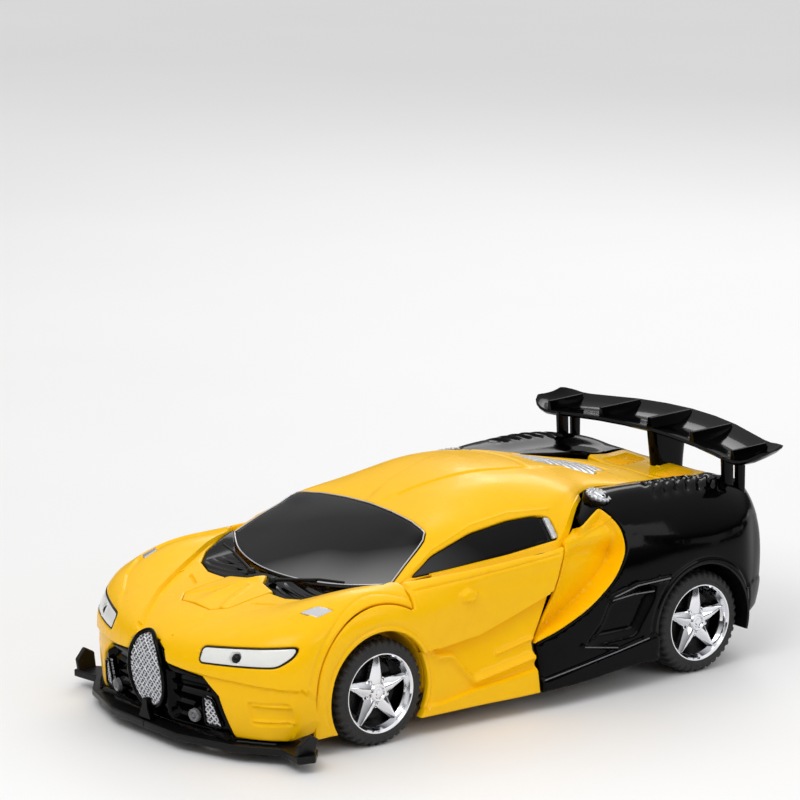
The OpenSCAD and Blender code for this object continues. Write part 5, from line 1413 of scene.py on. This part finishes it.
# height, half width, depth to the front, depth to the rear, and squareness of each cut
SKULL = ((0.3, 3.0, 6.6, 3.6, 2.2), (1.6, 4.1, 7.4, 5, 2.4), (4.4, 5.2, 7.0, 6.2, 2.6),
         (5.2, 5.3, 6.2, 6.4, 2.8), (8.6, 6.2, 6.1, 7, 2.8), (11.2, 7.0, 6.3, 7.6, 2.7),
         (12.0, 7.5, 8.2, 7.9, 2.5), (14.2, 7.4, 8.0, 7.8, 2.3), (16.6, 6.7, 6.9, 7.2, 2.2),
         (18.8, 5.0, 5.0, 5.6, 2.1), (20.0, 2.6, 2.6, 3, 2), (20.4, 0.4, 0.4, 0.4, 2))
skull = rings([head_ring(*cut) for cut in SKULL])
# half width, y and z along the crest
CREST = ((1.4, -80.2, 27.6), (1.9, -79.8, 30.6), (1.8, -78.2, 33.4), (1.5, -75.6, 35.8), (1.2, -72, 36.8),
         (0.9, -68, 36), (0.5, -65.4, 33.6))
crest = rings([[(-w, y, z - 0.8), (w, y, z - 0.8), (w * 0.5, y - 0.1, z), (-w * 0.5, y - 0.1, z)]
               for w, y, z in CREST])
brows = [tube([(1.2, -79.9, 27.4), (3.6, -79.2, 28.2), (6.0, -77, 29.4), (7.3, -74, 30.8)], 0.75, 10),
         tube([(1.6, -79.2, 29.9), (4.0, -78.1, 31.2), (6.0, -75.4, 32.6)], 0.55, 10)]
cheeks = prism([(-79, 17.2), (-76.6, 24.6), (-73.8, 26.4), (-69.2, 26.6), (-69.6, 19.6), (-73.6, 17)], "x",
               5.0, 7.2, 0.8)
ears = lathe([(0.01, 9.0), (1.2, 8.9), (1.9, 8.3), (2.6, 8.1), (2.9, 7.4), (2.9, 6.0), (0.01, 6.0)],
             (0, -71.4, 26), 32, caps=False)
jaw = [tube([(0, -79.7, 18 + 1.5 * i), (2.6, -79.2, 18.2 + 1.5 * i), (4.4, -77.4, 18.8 + 1.5 * i)], 0.42,
            8) for i in range(4)]
plate = merged(block(-8.1, 8.1, -61.6, -60, 9.4, 34.8), block(-10.5, 10.5, -61.6, -60, 9.4, 17.8),
               block(-3, 3, -67, -61, 18.8, 27.8))
build("helmet", *merged(skull, crest, pair(cheeks), pair(ears), *[pair(j) for j in jaw], plate), "head",
      GLOSS, ("head",), smooth=34)
VISOR = ((8.2, 5.9, 6.2), (8.6, 6.2, 6.7), (10.4, 6.5, 6.8), (10.8, 6.4, 6.3))
visor = rings([head_ring(z, w, f, 1.5, 2.6) for z, w, f in VISOR])
build("helmet_visor", *merged(visor, *[pair(b) for b in brows]), "head", BRASS, slot="black_gloss",
      smooth=40)

# ---------- chest ----------
CHEST = [(0, -57.8), (8, -64.2), (13, -61.7), (26.6, -73), (25.3, -75.2), (19, -77.3), (8, -75.8),
         (5, -77.6), (0, -75.3)]
CHEST = CHEST + [(-x, y) for x, y in CHEST[-2:0:-1]]
inset = [(0, -60.4), (8, -66.6), (12.8, -64.2), (21.6, -72.6), (19, -74.6), (8.6, -73.6), (5, -75),
         (0, -72.8)]
inset = inset + [(-x, y) for x, y in inset[-2:0:-1]]


def plate_solid(outline, z_face, z_back, shrink, drop):
    """Plate whose face is bevelled towards its middle."""
    p = np.asarray(outline, float)
    mid = p.mean(0)
    levels = ((1.0, z_back), (1.0, z_face + drop), (shrink, z_face))
    return rings([[(mid[0] + (x - mid[0]) * k, mid[1] + (y - mid[1]) * k, z) for x, y in p]
                  for k, z in levels])


build("chest_wings",
      *merged(plate_solid(CHEST, 3.4, 8.1, 0.94, 0.9), plate_solid(inset, 3.05, 4.6, 0.88, 0.4)), "torso",
      SILVER, smooth=25)
LOWER = [(20.6, -66.7), (16.9, -54.7), (8.9, -51.7), (4.9, -45.8), (-4.9, -45.8), (-8.9, -51.7),
         (-16.9, -54.7), (-20.6, -66.7), (-21.6, -68.6), (-15.2, -57.2), (-7.7, -53.8), (-3.7, -48.8),
         (3.7, -48.8), (7.7, -53.8), (15.2, -57.2), (21.6, -68.6)]
build("chest_frame", *prism(LOWER, "z", 3.9, 8.1), "torso", SILVER, ("chest_plate",), bevel=0.5)


# ---------- every CAD node that is still shown ----------
slot_of = {s["node"]: s["material_slot"] for s in frame["record"]["subparts"]}
for name, obj in frame["nodes"].items():
    if obj.hide_render:
        continue
    obj.data.materials.clear()
    obj.data.materials.append(SLOT_SHADER[slot_of[name]].mat)
    weld = obj.modifiers.new("weld", "WELD")
    weld.merge_threshold = 1e-6
    rounded_edges = obj.modifiers.new("edges", "BEVEL")
    rounded_edges.width, rounded_edges.segments = 0.00022, 2
    rounded_edges.limit_method, rounded_edges.angle_limit = "ANGLE", math.radians(28)
    rounded_edges.use_clamp_overlap = True
    rounded_edges.harden_normals = True

# ---------- floor, light, camera ----------
CAM_AZ, CAM_EL, CAM_D = math.radians(52.07), math.radians(12.75), 1385.0
SHIFT_LEFT, SHIFT_UP = 7.62, 87.6      # from the line of sight through the drawing's origin
SENSOR, LENS = 36.0, 196.398
back = np.array([math.sin(CAM_AZ) * math.cos(CAM_EL), -math.cos(CAM_AZ) * math.cos(CAM_EL),
                 math.sin(CAM_EL)])
right = np.array([math.cos(CAM_AZ), math.sin(CAM_AZ), 0])
up = np.cross(back, right)
place = back * CAM_D - right * SHIFT_LEFT + up * SHIFT_UP - (0, CENTRE_Y, 0)
cam_data = bpy.data.cameras.new("camera")
cam = bpy.data.objects.new("camera", cam_data)
bpy.context.scene.collection.objects.link(cam)
cam.location = Vector(place * 0.001)
cam.rotation_mode = "QUATERNION"
cam.rotation_quaternion = Vector(-back).to_track_quat("-Z", "Y")
cam_data.sensor_width, cam_data.lens = SENSOR, LENS
cam_data.clip_start, cam_data.clip_end = 0.05, 50
bpy.context.scene.camera = cam

floor_shader = Shader("floor", (0.86, 0.86, 0.86), 0.6)
floor_shader.link(floor_shader.ramp(floor_shader.noise(3.0),
                                    [(0.3, (0.85, 0.85, 0.85)), (0.7, (0.88, 0.88, 0.88))]),
                  floor_shader.bsdf.inputs["Base Color"])
fl = bpy.data.meshes.new("floor")
HALF = 6.0
fl.from_pydata([(-HALF, -HALF, 0), (HALF, -HALF, 0), (HALF, HALF, 0), (-HALF, HALF, 0)], [], [(0, 1, 2, 3)])
floor = bpy.data.objects.new("floor", fl)
fl.materials.append(floor_shader.mat)
bpy.context.scene.collection.objects.link(floor)

world = bpy.data.worlds.new("world")
bpy.context.scene.world = world
world.use_nodes = True
tree = world.node_tree
direction = tree.nodes.new("ShaderNodeTexCoord")
height = tree.nodes.new("ShaderNodeSeparateXYZ")
tree.links.new(direction.outputs["Generated"], height.inputs[0])
dome = tree.nodes.new("ShaderNodeValToRGB")
dome.color_ramp.elements[0].position, dome.color_ramp.elements[0].color = 0.08, (0.06, 0.06, 0.06, 1)
dome.color_ramp.elements[1].position, dome.color_ramp.elements[1].color = 0.75, (1, 1, 1, 1)
tree.links.new(height.outputs["Z"], dome.inputs["Fac"])
tree.links.new(dome.outputs["Color"], tree.nodes["Background"].inputs["Color"])
tree.nodes["Background"].inputs["Strength"].default_value = 1.0


def area(name, place, target, size, power):
    """Soft rectangular light aimed at a point."""
    d = bpy.data.lights.new(name, "AREA")
    d.shape, d.size, d.size_y, d.energy = "RECTANGLE", size[0], size[1], power
    o = bpy.data.objects.new(name, d)
    o.location = place
    o.rotation_mode = "QUATERNION"
    o.rotation_quaternion = (Vector(target) - Vector(place)).to_track_quat("-Z", "Y")
    bpy.context.scene.collection.objects.link(o)


area("key", (0.25, -0.55, 0.75), (0, 0, 0.03), (0.5, 0.35), 2.2)
area("side", (0.9, 0.25, 0.45), (0, 0, 0.03), (0.7, 0.25), 1.2)
area("rim", (-0.5, 0.7, 0.6), (0, 0, 0.04), (0.6, 0.3), 1.8)
bpy.context.scene.view_settings.view_transform = "Standard"
